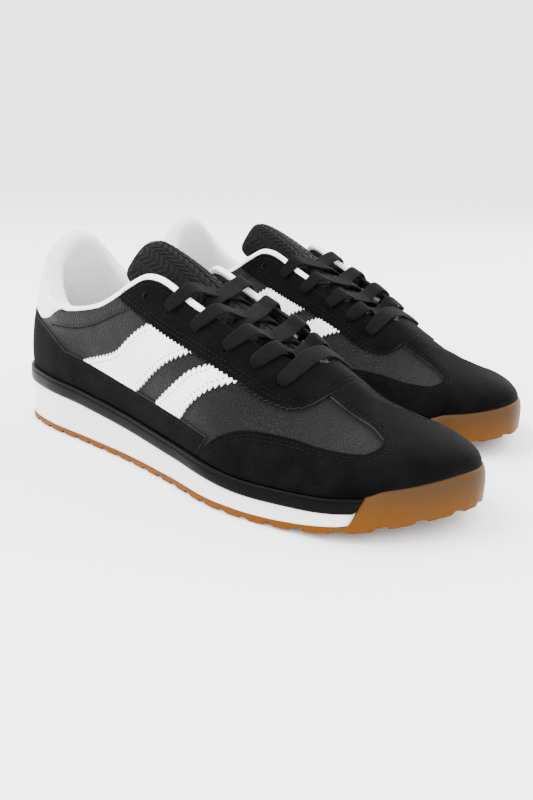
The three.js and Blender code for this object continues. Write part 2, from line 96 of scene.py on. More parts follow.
centre_y = through((-145, 0), (-98, 0), (-40, 1), (20, 4), (88, 6), (145, 6))
sole_top = through(
    (-148, 33.4), (-140, 33.2), (-98, 30.8), (-73, 29.2), (-21, 24.4), (5, 22.2), (35, 20.3),
    (61, 18.2), (88, 18.3), (98, 18.7), (106, 19.5), (112, 20.3), (117, 22.5), (127, 24),
    (136, 25.6), (143, 26.9), (148, 27.4))
band_height = through((-148, 9.3), (0, 7.8), (60, 7.2), (148, 7))
ridge = through((-98, 150), (-60, 128), (-24, 106), (0, 92), (30, 78.5), (60, 62.5), (88, 48))
tongue_ridge = through(
    (-98, 119), (-53, 117), (-24, 106), (0, 92), (30, 78.5), (60, 62.5), (88, 48))
bulge_height = through(
    (-148, 37), (-98, 35), (-60, 33.5), (-24, 34), (30, 22), (60, 14), (88, 11), (148, 10))
bulge_width = through(
    (-148, 4), (-140, 4), (-98, 2.5), (-60, 1), (-24, 0), (30, -.5), (60, 0), (88, .5), (148, 1))
shoulder = through(
    (-148, .2), (-140, .22), (-120, .48), (-98, .76), (-60, .85), (-24, .95), (30, .76), (60, .4),
    (88, .33), (118, .43), (140, .49), (148, .5))

# Edges of the upper's pieces, as v at a station.
rim = through(
    (-148, .527), (-138, .515), (-129.5, .482), (-122, .436), (-114, .38), (-106, .34), (-99, .318),
    (-91, .31), (-76, .34), (-60, .4), (-46, .49), (-36, .59), (-28, .68), (-18, .73), (0, .75),
    (30, .77), (50, .8), (60, .88), (64, 1))
tab_edge = through(
    (-148, .28), (-134, .275), (-126, .262), (-121, .25), (-113.5, .232), (-105, .25), (-98.5, .275),
    (-91, .307))
counter_edge = through(
    (-148, .272), (-134, .267), (-126, .254), (-119.5, .22), (-105.8, .195), (-92.8, .155),
    (-87.5, .138), (-84.5, .103), (-79.8, .055), (-77, 0))
rail_edge = through((-88, .145), (-57, .14), (-26, .13), (14, .15), (39, .16))
toe_edge = through(
    (32, 0), (34, .05), (40, .14), (46, .23), (54, .31), (61, .35), (75, .395), (87, .415),
    (100, .42), (110, .43), (116, .46), (119, .51), (120, .56))
stem_edge = through((76, .76), (98, .74), (108, .72), (114, .69), (118, .63), (120, .56))
eyestay_edge = through(
    (-46, .49), (-39, .475), (-16, .48), (13, .51), (42, .53), (54, .52), (62, .53), (69, .56),
    (74, .64), (76, .74), (78, .88), (80, 1))
collar_seam = through((-105, .22), (-82, .25), (-63, .31), (-42, .42), (-31, .48))
EYELETS = [(58, .64), (44, .65), (30, .64), (10, .62), (-8, .61), (-25, .58)]
BARS = {
    "bar_rear": (
        [(-76, .11), (-71.5, .14), (-59, .185), (-47.8, .225), (-40.8, .26), (-36.2, .3),
         (-27.2, .385), (-18, .475), (-14, .515)],
        [(-27, .09), (-23.8, .128), (-15.2, .212), (-7, .305), (1, .393), (13.2, .51), (17, .545)],
    ),
    "bar_front": (
        [(-9, .1), (-5.2, .143), (4.2, .255), (11, .345), (16.8, .422), (26.8, .525), (30, .56)],
        [(12.6, .1), (15, .145), (20.8, .255), (26.8, .345), (32.5, .422), (41.2, .522),
         (44.5, .56)],
    ),
}
strip_drop = through((-95, .6), (-91, 1.6), (-80, 2.2), (-46, 2.5), (-18, 2.8), (9, 2.8), (11, .5))


def outline_points(per_span=24):
    p = np.array(OUTLINE, float)
    t = (np.arange(per_span) / per_span)[:, None]
    spans = []
    for i in range(len(p)):
        a, b, c, d = p[i - 1], p[i], p[(i + 1) % len(p)], p[(i + 2) % len(p)]
        m0, m1 = (c - a) / 2, (d - b) / 2
        spans.append((2 * b - 2 * c + m0 + m1) * t**3 + (-3 * b + 3 * c - 2 * m0 - m1) * t**2
                     + m0 * t + b)
    return np.concatenate(spans)


def sweep(q):
    past = np.maximum(q - TOE_CENTRE, 0) / (END - TOE_CENTRE)
    past = past + np.maximum(HEEL_CENTRE - q, 0) / (END + HEEL_CENTRE)
    return past * math.pi / 2


def reach_table(side, step=.25):
    q = np.arange(-END, END + step, step)
    x = np.clip(q, HEEL_CENTRE, TOE_CENTRE)
    dx, dy = np.sign(q) * np.sin(sweep(q)), side * np.cos(sweep(q))
    a = outline_points()
    e = np.roll(a, -1, 0) - a
    cross = dx[:, None] * e[:, 1] - dy[:, None] * e[:, 0]
    ax, ay = a[:, 0] - x[:, None], a[:, 1] - centre_y(x)[:, None]
    along = (ax * e[:, 1] - ay * e[:, 0]) / cross
    share = (ax * dy[:, None] - ay * dx[:, None]) / cross
    hit = (along > 0) & (share >= -1e-9) & (share <= 1 + 1e-9)
    return q, np.where(hit, along, np.inf).min(1)


REACH = {side: reach_table(side) for _, side in SIDES}


def spoke(q, side, inset):
    """The middle and outward direction of a station, and how far the outline lies less inset."""
    x = np.clip(q, HEEL_CENTRE, TOE_CENTRE)
    turn = sweep(q)
    out = np.stack([np.sign(q) * np.sin(turn), side * np.cos(turn)], -1)
    r = np.where(side < 0, np.interp(q, *REACH[-1]), np.interp(q, *REACH[1])) - inset
    return np.stack([x, centre_y(x)], -1), out, r


def sole_point(q, side, inset, z):
    q, side, inset, z = np.broadcast_arrays(*np.atleast_1d(q, side, inset, z))
    middle, out, r = spoke(q.astype(float), side.astype(float), inset)
    return np.concatenate([middle + out * r[..., None], z[..., None].astype(float)], -1)


def surface(q, v, side, line):
    q, v, side = (a.astype(float) for a in np.broadcast_arrays(q, v, side))
    side = np.where(v > 1, -side, side)
    v = np.where(v > 1, 2 - v, v)
    beyond = np.abs(q) > END
    side = np.where(beyond, -side, side)
    q = np.where(beyond, np.sign(q) * 2 * END - q, q)
    middle, out, width = spoke(q, side, UPPER_INSET)
    x = middle[..., 0]
    base = sole_top(q) + GAP
    top = line(x)
    inner = width * shoulder(q)
    fall = TOE_FALL * inner * np.maximum(out[..., 0], 0)
    u = 1 - v
    share = (u**3, 3 * v * u * u, 3 * v * v * u, v**3)
    rho = share[0] * width + share[1] * (width + bulge_width(q)) + share[2] * inner
    z = (share[0] * base + share[1] * (base + bulge_height(q)) + share[2] * (top - fall)
         + share[3] * top)
    return np.concatenate([middle + out * rho[..., None], z[..., None]], -1)


def unit(a):
    return a / np.maximum(np.linalg.norm(a, axis=-1, keepdims=True), 1e-9)


def normal_at(q, v, side, line):
    q, v, side = (a.astype(float) for a in np.broadcast_arrays(q, v, side))
    past_toe = q > TOE_CENTRE
    above = np.where(past_toe, np.minimum(v + .004, 1), v + .004)
    along_q = surface(q + .5, v, side, line) - surface(q - .5, v, side, line)
    along_v = surface(q, above, side, line) - surface(q, v - .004, side, line)
    n = unit(np.cross(along_q, along_v)) * -side[..., None]
    pole = unit(np.array([(line(TOE_CENTRE - 1) - line(TOE_CENTRE)), 0, 1.0]))
    near = np.where(past_toe, np.clip((v - .97) / .03, 0, 1), 0)[..., None]
    return unit(n * (1 - near) + pole * near)


def onto(q, v, side, offset, line=ridge):
    offset = np.asarray(offset, float)
    p = surface(q, v, side, line)
    return p + normal_at(q, v, side, line) * np.broadcast_to(offset, p.shape[:-1])[..., None]


def ground(x):
    return (np.where(x > 62, 10.5 * ((x - 62) / 83) ** 2, 0)
            + np.where(x < -125, 2 * ((-125 - x) / 20) ** 2, 0))


# ---------------------------------------------------------------- meshes
def place(points, foot):
    """Points of the shoe's own space (mm) as points of the row frame (m)."""
    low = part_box(f"{foot}_outsole")[0].x * 1000 - HEEL_TIP - OUTSOLE_INSET
    flip = 1 if foot == "right" else -1
    p = np.array(points, float).reshape(-1, 3)
    return np.stack([p[:, 0] + low, flip * (p[:, 1] - HALF_PITCH), p[:, 2]], -1) / 1000


def piece(name, data, materials, body="shoe", nodes=()):
    """Makes the piece on both shoes: data is (points, faces, material index of each face)."""
    points, faces, index = data
    made = []
    for foot in FEET:
        ordered = faces if foot == "right" else [f[::-1] for f in faces]
        mesh = bpy.data.meshes.new(f"{foot}_{name}")
        mesh.from_pydata(place(points, foot), [], ordered)
        for m in materials:
            mesh.materials.append(m)
        mesh.polygons.foreach_set("material_index", np.asarray(index, np.int32))
        mesh.polygons.foreach_set("use_smooth", np.full(len(faces), True))
        mesh.update()
        obj = bpy.data.objects.new(f"{foot}_{name}", mesh)
        bpy.context.scene.collection.objects.link(obj)
        if body:
            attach(obj, f"{foot}_{body}")
        if nodes:
            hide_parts(*[f"{foot}_{n}" for n in nodes])
        made.append(obj)
    return made


# Rows at set distances from an edge, in mm: a rounded edge with a stitch line, and a hidden edge.
EDGE_ROWS = (0, .22, .55, 1.1, 1.75, 2.1, 2.45, 2.8, 3.3, 4.2)
PLAIN = (0,)
CUT_EDGE = .5      # how much of an edge shows the cut material


def grid_faces(rows, columns, wrap=False):
    i = np.arange(rows - 1)[:, None]
    j = np.arange(columns if wrap else columns - 1)[None, :]
    k = (j + 1) % columns
    quads = np.stack([i * columns + j, (i + 1) * columns + j, (i + 1) * columns + k,
                      i * columns + k], -1)
    return quads.reshape(-1, 4)


def volume(points, faces):
    total = 0.0
    for f in faces:
        a = points[f[0]]
        for b, c in zip(f[1:-1], f[2:]):
            total += np.dot(a, np.cross(points[b], points[c]))
    return total


def weld(points, faces):
    """Merges points that coincide: the first of each, and the faces that are still whole."""
    key = np.round(points * 500 + .31).astype(np.int64)
    _, first, inverse = np.unique(key, axis=0, return_index=True, return_inverse=True)
    inverse = inverse.reshape(-1)
    rings = [[a for i, a in enumerate(face) if a != face[i - 1]]
             for face in inverse[np.asarray(faces)].tolist()]
    return first, [ring for ring in rings if len(ring) > 2 and len(set(ring)) == len(ring)]


def turned_out(points, faces, index=None):
    """The mesh with its faces pointing out, all of the first material where index is None."""
    if volume(points, faces) < 0:
        faces = [f[::-1] for f in faces]
    return points, faces, [0] * len(faces) if index is None else index


def tube(grid):
    """A closed mesh along a row of sections, each a ring of points, with flat ends."""
    rows, count = grid.shape[:2]
    faces = grid_faces(rows, count, wrap=True).tolist()
    faces.append(list(range(count)))
    faces.append([(rows - 1) * count + k for k in range(count)][::-1])
    return turned_out(grid.reshape(-1, 3), faces)


def solid(base, top, bottom, quads, distance=None):
    """A closed skin: top and bottom sheets over the same quads, walled round every open edge.
    Faces of the top sheet close to the edge, by distance, take the second material."""
    first, faces = weld(base, quads)
    top, bottom = top[first], bottom[first]
    n = len(top)
    directed = {(a, b) for f in faces for a, b in zip(f, f[1:] + f[:1])}
    walls = [[b, a, a + n, b + n] for a, b in directed if (b, a) not in directed]
    under = [[a + n for a in f[::-1]] for f in faces]
    cut = [0] * len(faces)
    if distance is not None:
        near = distance[first] < CUT_EDGE
        cut = [int(near[f].all()) for f in faces]
    index = cut + [0] * len(under) + [1] * len(walls)
    return turned_out(np.concatenate([top, bottom]), faces + under + walls, index)


def joined(*parts):
    """Several meshes as one."""
    points, faces, index, n = [], [], [], 0
    for p, f, m in parts:
        points.append(p)
        faces += [[a + n for a in face] for face in f]
        index += m
        n += len(p)
    return np.concatenate(points), faces, index


def spread(start, end, step, near_start=(), near_end=()):
    """Stations about step mm apart, with extra ones close to the ends."""
    fine = np.linspace(start, end, 2000)
    stretch = np.where((fine > TOE_CENTRE) | (fine < HEEL_CENTRE), SWEEP_STRETCH, 1)
    length = np.concatenate([[0], np.cumsum(np.abs(np.diff(fine)) * stretch[1:])])
    lead = near_start[-1] if near_start else 0
    tail = near_end[-1] if near_end else 0
    count = max(int((length[-1] - lead - tail) / step), 2)
    at = np.concatenate([np.array(near_start[:-1]), np.linspace(lead, length[-1] - tail, count + 1),
                         length[-1] - np.array(near_end[:-1])[::-1]])
    return np.interp(at, length, fine)


def columns(q, side, low, high, near_low, near_high, step):
    """v at each station from low to high: rows at set distances (mm) from either edge, and even
    ones between. Returns v, the distance to the low edge and the distance to the high edge."""
    t = np.linspace(0, 1, 60)
    v = low[:, None] + (high - low)[:, None] * t
    p = surface(q[:, None], v, side[:, None] if np.ndim(side) else side, ridge)
    run = np.linalg.norm(np.diff(p, axis=1), axis=-1)
    length = np.concatenate([np.zeros((len(q), 1)), np.cumsum(run, 1)], 1)
    total = length[:, -1]
    lead, tail = np.array(near_low, float), np.array(near_high, float)
    squeeze = np.minimum(1, .9 * total / (lead[-1] + tail[-1] + 1e-6))[:, None]
    lead, tail = lead * squeeze, tail * squeeze
    count = max(int((total.max() - near_low[-1] - near_high[-1]) / step), 2)
    share = np.linspace(0, 1, count + 1)[1:-1]
    middle = lead[:, -1:] + (total[:, None] - lead[:, -1:] - tail[:, -1:]) * share
    at = np.concatenate([lead, middle, total[:, None] - tail[:, ::-1]], 1)
    out = np.stack([np.interp(at[i], length[i], v[i]) for i in range(len(q))])
    return out, at, total[:, None] - at


def relief(d, thick, round_over=.55, sew=(2.45,), dent=.2):
    """Height of a sewn overlay at distance d from its edge: rounded edge, sunk stitch line."""
    lift = np.sqrt(np.clip(1 - (1 - np.clip(d / round_over, 0, 1)) ** 2, 0, 1))
    height = thick * (.45 + .55 * lift)
    for s in sew:
        height = height - dent * np.exp(-((d - s) / .5) ** 2)
    puff = np.clip((d - 3) / 6, 0, 1)
    return height + .12 * np.sin(puff * math.pi / 2)


def around(half):
    """Stations in along the outer side and out along the inner one, through their first."""
    q = np.concatenate([half[::-1], half[1:]])
    return q, np.concatenate([np.full(len(half), -1.0), np.full(len(half) - 1, 1.0)])


def patch(q, side, v, offset_top, offset_bottom, distance=None):
    """A skin on the surface between two offsets; q and side are given by row or by point."""
    side = np.broadcast_to(side[:, None] if np.ndim(side) == 1 else side, v.shape)
    qq = np.broadcast_to(q[:, None] if np.ndim(q) == 1 else q, v.shape)
    base = surface(qq, v, side, ridge)
    n = normal_at(qq, v, side, ridge)
    top = base + n * np.broadcast_to(offset_top, v.shape)[..., None]
    bottom = base + n * np.broadcast_to(offset_bottom, v.shape)[..., None]
    flat = [a.reshape(-1, 3) for a in (base, top, bottom)]
    if distance is not None:
        distance = np.broadcast_to(distance, v.shape).reshape(-1)
    return solid(*flat, grid_faces(*v.shape), distance)


def tooth(distance, pitch=2.6, depth=1.05):
    """Pinking: a barely rounded zigzag in mm along an edge."""
    phase = np.abs((distance / pitch) % 1 - .5) * 2
    rounded = phase * phase * (3 - 2 * phase)
    return depth * (.5 * phase + .5 * rounded - .5)


def arc_length(points):
    return np.concatenate([[0], np.cumsum(np.linalg.norm(np.diff(points, axis=0), axis=1))])


def step_up(x, a, b):
    """A smooth step from 0 at a to 1 at b."""
    t = np.clip((x - a) / (b - a), 0, 1)
    return t * t * (3 - 2 * t)


def slope_v(q, v, side):
    """Millimetres climbed for each unit of v."""
    a = surface(q, v + .01, side, ridge) - surface(q, v - .01, side, ridge)
    return np.linalg.norm(a, axis=-1) / .02


# ---------------------------------------------------------------- stitches
STITCH_PITCH = 2.7


def thread(paths, length=2.0, width=.62, height=.34, rise=.05):
    """Short raised stitches along paths of (points, normals)."""
    ring, arms = 5, 8
    a = np.linspace(-1, 1, ring)
    radius = np.sqrt(np.clip(1 - np.abs(a) ** 3, .12, 1))
    turn = np.arange(arms) / arms * 2 * math.pi
    points, faces = [], []
    quads = grid_faces(ring, arms, wrap=True).tolist()
    n = 0
    for line_points, line_normals in paths:
        run = arc_length(line_points)
        if run[-1] < STITCH_PITCH:
            continue

        def at(s, values):
            return np.stack([np.interp(s, run, values[:, k]) for k in range(3)], -1)

        for s in np.arange(STITCH_PITCH / 2, run[-1], STITCH_PITCH):
            c, nrm = at(s, line_points), unit(at(s, line_normals))
            along = unit(at(min(s + .6, run[-1]), line_points) - at(max(s - .6, 0), line_points))
            across = unit(np.cross(nrm, along))
            nrm = np.cross(along, across)
            for i in range(ring):
                lift = nrm * (rise - height * .35 * a[i] ** 2)
                for t in turn:
                    points.append(c + lift + along * a[i] * length / 2
                                  + across * math.cos(t) * radius[i] * width / 2
                                  + nrm * math.sin(t) * radius[i] * height / 2)
            faces += [[k + n for k in f] for f in quads]
            faces.append([n + k for k in range(arms)])
            faces.append([n + (ring - 1) * arms + k for k in range(arms)][::-1])
            n += ring * arms
    return turned_out(np.array(points), faces)


def edge_path(q, v, side, inset, offset):
    """A path inset mm to one side of a line given as stations and v, offset mm off the surface."""
    p = surface(q, v, side, ridge)
    n = normal_at(q, v, side, ridge)
    along = unit(np.gradient(p, axis=0))
    return p + np.cross(n, along) * inset + n * offset, n


# ---------------------------------------------------------------- materials
class Finish:
    """A Principled material in the making, patterned in its object's own coordinates."""

    def __init__(self, name, specular=None, sheen=None):
        self.material = bpy.data.materials.new(name)
        self.material.use_nodes = True
        self.nodes = self.material.node_tree.nodes
        self.shader = self.nodes["Principled BSDF"].inputs
        self.at = self.nodes.new("ShaderNodeTexCoord").outputs["Object"]
        if specular is not None:
            self.shader["Specular IOR Level"].default_value = specular
        if sheen is not None:
            self.shader["Sheen Weight"].default_value = sheen

    def link(self, source, socket):
        self.material.node_tree.links.new(source, socket)

    def texture(self, kind, source=None, **inputs):
        n = self.nodes.new(kind)
        for socket, value in inputs.items():
            n.inputs[socket].default_value = value
        self.link(source or self.at, n.inputs["Vector"])
        return n

    def noise(self, scale, detail=3, rough=.5):
        n = self.texture("ShaderNodeTexNoise", Scale=scale, Detail=detail, Roughness=rough)
        return n.outputs["Fac"]

    def cells(self, scale, feature="DISTANCE_TO_EDGE", randomness=1.0, source=None):
        n = self.texture("ShaderNodeTexVoronoi", source, Scale=scale, Randomness=randomness)
        n.feature = feature
        return n.outputs["Distance"]

    def ramp(self, socket, source, *stops):
        """Drives a socket of the shader with colours, or greys, at values of the source."""
        n = self.nodes.new("ShaderNodeValToRGB")
        while len(n.color_ramp.elements) < len(stops):
            n.color_ramp.elements.new(.5)
        for e, (at, colour) in zip(n.color_ramp.elements, stops):
            e.position = at
            e.color = (*(grey(colour) if np.isscalar(colour) else colour), 1)
        self.link(source, n.inputs["Fac"])
        self.link(n.outputs["Color"], self.shader[socket])

    def math(self, how, a, b):
        n = self.nodes.new("ShaderNodeMath")
        n.operation = how
        for socket, x in zip(n.inputs, (a, b)):
            if np.isscalar(x):
                socket.default_value = x
            else:
                self.link(x, socket)
        return n.outputs[0]

    def total(self, *terms):
        """The sum of (value, weight) pairs."""
        parts = [self.math("MULTIPLY", value, weight) for value, weight in terms]
        whole = parts[0]
        for part in parts[1:]:
            whole = self.math("ADD", whole, part)
        return whole

    def bump(self, height, depth, strength):
        n = self.nodes.new("ShaderNodeBump")
        n.inputs["Strength"].default_value = strength
        n.inputs["Distance"].default_value = depth
        self.link(height, n.inputs["Height"])
        self.link(n.outputs["Normal"], self.shader["Normal"])
        return self.material


def grey(g, tint=0):
    return (g, g, g * (1 + tint))


def suede(name, dark, light, tint=.06):
    """Fine nap, brushed lighter and darker in soft patches."""
    f = Finish(name, specular=.02, sheen=.02)
    f.shader["Sheen Roughness"].default_value = .45
    fibre, brushed = f.noise(2600, 4, .7), f.noise(75, 4, .6)
    f.ramp("Base Color", f.math("MULTIPLY", fibre, brushed),
           (.12, grey(dark, tint)), (.42, grey(light, tint)))
    f.ramp("Roughness", brushed, (.3, .9), (.7, 1.0))
    return f.bump(f.total((fibre, 1), (f.noise(900, 3, .6), 1)), .00022, .8)


def leather(name, dark, light, rough, cell, depth, spec):
    """Grained leather: flat-topped cells of two sizes, with painted shade darkening the creases
    between them.
    """
    f = Finish(name, specular=spec)
    creases = f.total((f.cells(cell), 3.0), (f.cells(cell * 2.1), 1.2))
    topped = f.math("MINIMUM", creases, .75)
    # painted shade: the base colour darkens into the creases between the cells
    f.ramp("Base Color", topped, (.0, dark), (.6, light))
    f.ramp("Roughness", f.noise(55), (.3, rough - .06), (.7, rough + .08))
    return f.bump(f.total((topped, 1), (f.noise(3500, 2), .25)), depth, .9)


def smooth_leather(name, dark, light, rough=.42):
    f = Finish(name)
    cloudy = f.noise(90, 4)
    f.ramp("Base Color", cloudy, (.25, dark), (.75, light))
    f.ramp("Roughness", cloudy, (.2, rough), (.8, rough + .1))
    return f.bump(f.total((f.cells(1500), 1), (f.noise(4000, 2), 1)), .00006, .6)


def knit(name, low, high, pitch=1500, depth=.0003):
    """A knit of small loops in fine slanting ribs, with a little fuzz."""
    f = Finish(name, specular=.15, sheen=.25)
    f.shader["Roughness"].default_value = .95
    turned = f.texture("ShaderNodeMapping", Rotation=(.5, .35, .6)).outputs["Vector"]
    loops = f.cells(pitch, "F1", .15, turned)
    wave = f.texture("ShaderNodeTexWave", Scale=210, Distortion=.6)
    wave.bands_direction = "DIAGONAL"
    ribs = wave.outputs["Fac"]
    f.ramp("Base Color", ribs, (.0, low), (.7, high))
    return f.bump(f.total((loops, -1.0), (ribs, .8), (f.noise(5000), .3)), depth, .7)


def rubber(name, low, high, rough, grain=1800, depth=.00005, spec=.5):
    f = Finish(name, specular=spec)
    f.ramp("Base Color", f.noise(45, 4), (.3, low), (.7, high))
    speck = f.noise(grain, 2)
    f.ramp("Roughness", speck, (.3, rough - .08), (.7, rough + .08))
    return f.bump(speck, depth, .8)


def gum(name):
    """Gum rubber: amber at the tread and duller towards the top of the bumper."""
    f = Finish(name, specular=.06)
    split = f.nodes.new("ShaderNodeSeparateXYZ")
    f.link(f.at, split.inputs[0])
    level = f.total((split.outputs["Z"], 38.0), (f.noise(60), .25))
    f.ramp("Base Color", level, (.1, (.125, .038, .0018)), (.55, (.085, .031, .004)),
           (1.0, (.048, .024, .0085)))
    speck = f.noise(2200, 3, .7)
    f.ramp("Roughness", speck, (.35, .38), (.65, .6))
    return f.bump(speck, .00014, .8)


def woven(name, dark, light):
    """Yarn seen from close by: rounded cells in order, with fuzz."""
    f = Finish(name, specular=.06, sheen=.02)
    f.shader["Roughness"].default_value = .85
    yarn = f.cells(1900, "F1", .35)
    f.ramp("Base Color", yarn, (.1, light), (.7, dark))
    return f.bump(f.total((yarn, -1.0), (f.noise(6000), .4)), .00018, .8)


SUEDE = suede("black_suede", .0008, .0040)
SUEDE_EDGE = suede("suede_cut_edge", .010, .034, .16)
GRAIN = leather(
    "grained_leather", (.0008, .0008, .0009), (.0036, .0036, .0040), .42, 620, .0004, .09)
LEATHER_EDGE = suede("leather_cut_edge", .004, .012, .1)
EMBOSSED = leather(
    "embossed_leather", (.0012, .0012, .0014), (.0035, .0035, .004), .38, 1100, .0001, .025)
WHITE = smooth_leather("white_leather", (.80, .80, .795), (.87, .87, .865))
WHITE_EDGE = knit("white_cut_edge", (.72, .72, .71), (.84, .84, .83))
TAB = smooth_leather("white_tab_leather", grey(.74), grey(.80), .5)
KNIT = knit("white_knit", grey(.61), grey(.72))
BAND = rubber("black_band_rubber", (.0012, .0013, .0015), (.002, .0021, .0024), .34, spec=.035)
MIDSOLE = rubber("white_midsole", (.70, .70, .675), (.77, .77, .745), .48, 900, .00004)
GUM_RUBBER = gum("gum_rubber")
BOARD = rubber("fibre_board", (.56, .55, .52), (.66, .65, .62), .85, 1500, .0002)
LINER = knit("insole_knit", grey(.66), grey(.7), 1900, .00012)
THREAD = woven("black_thread", (.001, .001, .0012), (.004, .004, .0045))
GREY_THREAD = woven("white_thread", grey(.52), grey(.8))
HOLE = rubber("needle_hole", grey(.02), grey(.05), .9, spec=.1)
LACE = woven("black_lace", (.0008, .0008, .0009), (.0042, .0042, .0045))
TIP = rubber("lace_tip", (.02, .02, .021), (.03, .03, .031), .2)


# ---------------------------------------------------------------- camera, light and floor
def camera():
    turn, climb, roll = math.radians(42.05), math.radians(15.79), math.radians(0.99)
    back = Vector((math.sin(turn) * math.cos(climb), -math.cos(turn) * math.cos(climb),
                   math.sin(climb)))
    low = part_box("right_outsole")[0].x - (HEEL_TIP + OUTSOLE_INSET) / 1000
    target = Vector((low - .01728, .0518 - HALF_PITCH / 1000, .01873))
    data = bpy.data.cameras.new("camera")
    data.lens = 40.30
    data.sensor_width = 36
    data.shift_y = -.00356
    data.clip_start = .01
    obj = bpy.data.objects.new("camera", data)
    obj.location = target + back * .5205
    flat = (-back).to_track_quat("-Z", "Y").to_matrix()
    right, up = flat.col[0], flat.col[1]
    across = right * math.cos(roll) + up * math.sin(roll)
    upward = -right * math.sin(roll) + up * math.cos(roll)
    rotation = flat.copy()
    for k in range(3):
        rotation[k][0], rotation[k][1], rotation[k][2] = across[k], upward[k], back[k]
    obj.rotation_mode = "QUATERNION"
    obj.rotation_quaternion = rotation.to_quaternion()
    bpy.context.scene.collection.objects.link(obj)
    bpy.context.scene.camera = obj


def light(name, location, target, size, power):
    data = bpy.data.lights.new(name, "AREA")
    data.shape = "RECTANGLE"
    data.size, data.size_y = size
    data.energy = power
    obj = bpy.data.objects.new(name, data)
    obj.location = location
    aim = Vector(target) - Vector(location)
    obj.rotation_mode = "QUATERNION"
    obj.rotation_quaternion = aim.to_track_quat("-Z", "Y")
    bpy.context.scene.collection.objects.link(obj)


def studio():
    world = bpy.data.worlds.new("studio")
    bpy.context.scene.world = world
    world.use_nodes = True
    background = world.node_tree.nodes["Background"]
    background.inputs["Color"].default_value = (1, 1, 1, 1)
    background.inputs["Strength"].default_value = 3.1
    light("key", (-.6, -.5, 1.3), (0, 0, .03), (1.2, .9), 34)
    light("fill", (1.1, -.9, .8), (0, 0, .03), (1.0, 1.0), 14)
    light("back", (.3, 1.3, .9), (0, 0, .05), (1.4, .7), 22)
    f = Finish("floor", specular=.05)
    f.ramp("Base Color", f.noise(4, 2), (.3, .975), (.7, .985))
    f.shader["Roughness"].default_value = .7
    mesh = bpy.data.meshes.new("floor")
    r = 12.0
    mesh.from_pydata([(-r, -r, 0), (r, -r, 0), (r, r, 0), (-r, r, 0)], [], [[0, 1, 2, 3]])
    mesh.materials.append(f.material)
    floor = bpy.data.objects.new("floor", mesh)
    floor.location.z = -.0002
    bpy.context.scene.collection.objects.link(floor)


camera()
studio()


# ---------------------------------------------------------------- sole
def sole_loop(q, rows):
    """A closed body of rows round the sole: each row gives (inset, z) for a station and side."""
    count = len(q)
    levels = []
    for inset, z in rows:
        level = []
        for side in (-1, 1):
            i = inset(q, side) if callable(inset) else np.full(count, float(inset))
            p = sole_point(q, side, i, 0)
            p[:, 2] = z(q, p[:, 0])
            level.append(p)
        levels.append(np.concatenate([level[0], level[1][::-1]]))
    n = 2 * count
    points = np.concatenate(levels)
    faces = grid_faces(len(rows), n, wrap=True).tolist()
    cap = [[i, i + 1, n - 2 - i, n - 1 - i] for i in range(count - 1)]
    last = (len(rows) - 1) * n
    faces += [f[::-1] for f in cap]
    faces += [[a + last for a in f] for f in cap]
    first, kept = weld(points, faces)
    return turned_out(points[first], kept)


def bumper_share(q):
    return step_up(q, 106.2, 111.8)


def wall_height(q, x):
    low = ground(x) + GUM
    return low + (sole_top(q) + .15 - low) * bumper_share(q)


def lug(q, y=0):
    phase = ((q + .22 * np.abs(y)) / 13.0) % 1
    return step_up(np.abs(phase - .5), .29, .38) * 1.3


def outsole():
    """The gum cup: a lugged edge, a wall up to the bumper's lip and a thin floor inside."""
    def floor_z(q, x):
        return ground(x) + lug(q)

    def wall(share):
        swell = .55 * math.sin(share * math.pi) - .9 * max(share - .6, 0) ** 1.3

        def inset(q, side):
            return OUTSOLE_INSET + .15 - bumper_share(q) * swell

        def z(q, x):
            low = floor_z(q, x) + .7
            return low + (wall_height(q, x) - .3 - low) * share

        return inset, z

    def lip(inset, more, drop):
        return lambda q, side: inset + more * bumper_share(q), lambda q, x: wall_height(q, x) - drop

    rows = [(6.0, floor_z), (1.3, floor_z), (.75, lambda q, x: floor_z(q, x) + .25),
            (OUTSOLE_INSET + .05, lambda q, x: floor_z(q, x) + .7)]
    rows += [wall(share) for share in (.15, .3, .45, .6, .75, .88)]
    rows += [lip(.55, .75, .35), lip(.9, 1.0, .08), lip(1.6, 1.4, 0), lip(4.2, 0, .1),
             (4.6, lambda q, x: ground(x) + GUM)]
    return sole_loop(spread(-END, END, .9), rows)


def tread():
    """The sole's underside: chevron lugs, crossed by a flex groove under the ball."""
    q = spread(-END + 2, END - 2, 1.2)
    across = np.linspace(0, 1, 61)
    a = sole_point(q, -1, 5.8, 0)
    b = sole_point(q, 1, 5.8, 0)
    p = a[:, None] + (b - a)[:, None] * across[None, :, None]
    y = p[..., 1] - centre_y(p[..., 0])
    top = p.copy()
    top[..., 2] = ground(p[..., 0]) + lug(q[:, None], y) + .9 * np.exp(-(y / 1.8) ** 2)
    bottom = p.copy()
    bottom[..., 2] = ground(p[..., 0]) + GUM - .4
    return solid(p.reshape(-1, 3), top.reshape(-1, 3), bottom.reshape(-1, 3),
                 grid_faces(len(q), len(across)))


def midsole():
    """White foam with a drawn-in waist, a fine step near its top and a dip behind the bumper."""
    def up(share):
        def z(q, x):
            low = ground(x) + GUM + .05
            return low + (sole_top(q) - band_height(q) + .25 - low) * share

        return z

    def wall(share, inset, waist=0):
        def drawn(q, side):
            heel = .5 + .5 * step_up(-q, -20, 110)
            return inset + waist * math.sin(share * math.pi) * heel + 1.4 * step_up(q, 103, 109)

        return drawn, up(share)

    rows = [(5.0, up(0)), wall(0, 1.3), wall(.035, .95)]
    rows += [wall(share, .85, .75) for share in (.1, .2, .32, .45, .58, .7, .8)]
    rows += [wall(.84, 1.15), wall(.86, 1.35), wall(.885, 1.1), wall(.96, .95), wall(1.0, 1.2),
             (6.0, up(1.0)), (6.4, lambda q, x: sole_top(q) - .6)]
    return sole_loop(spread(-END, 111.6, 1.4), rows)


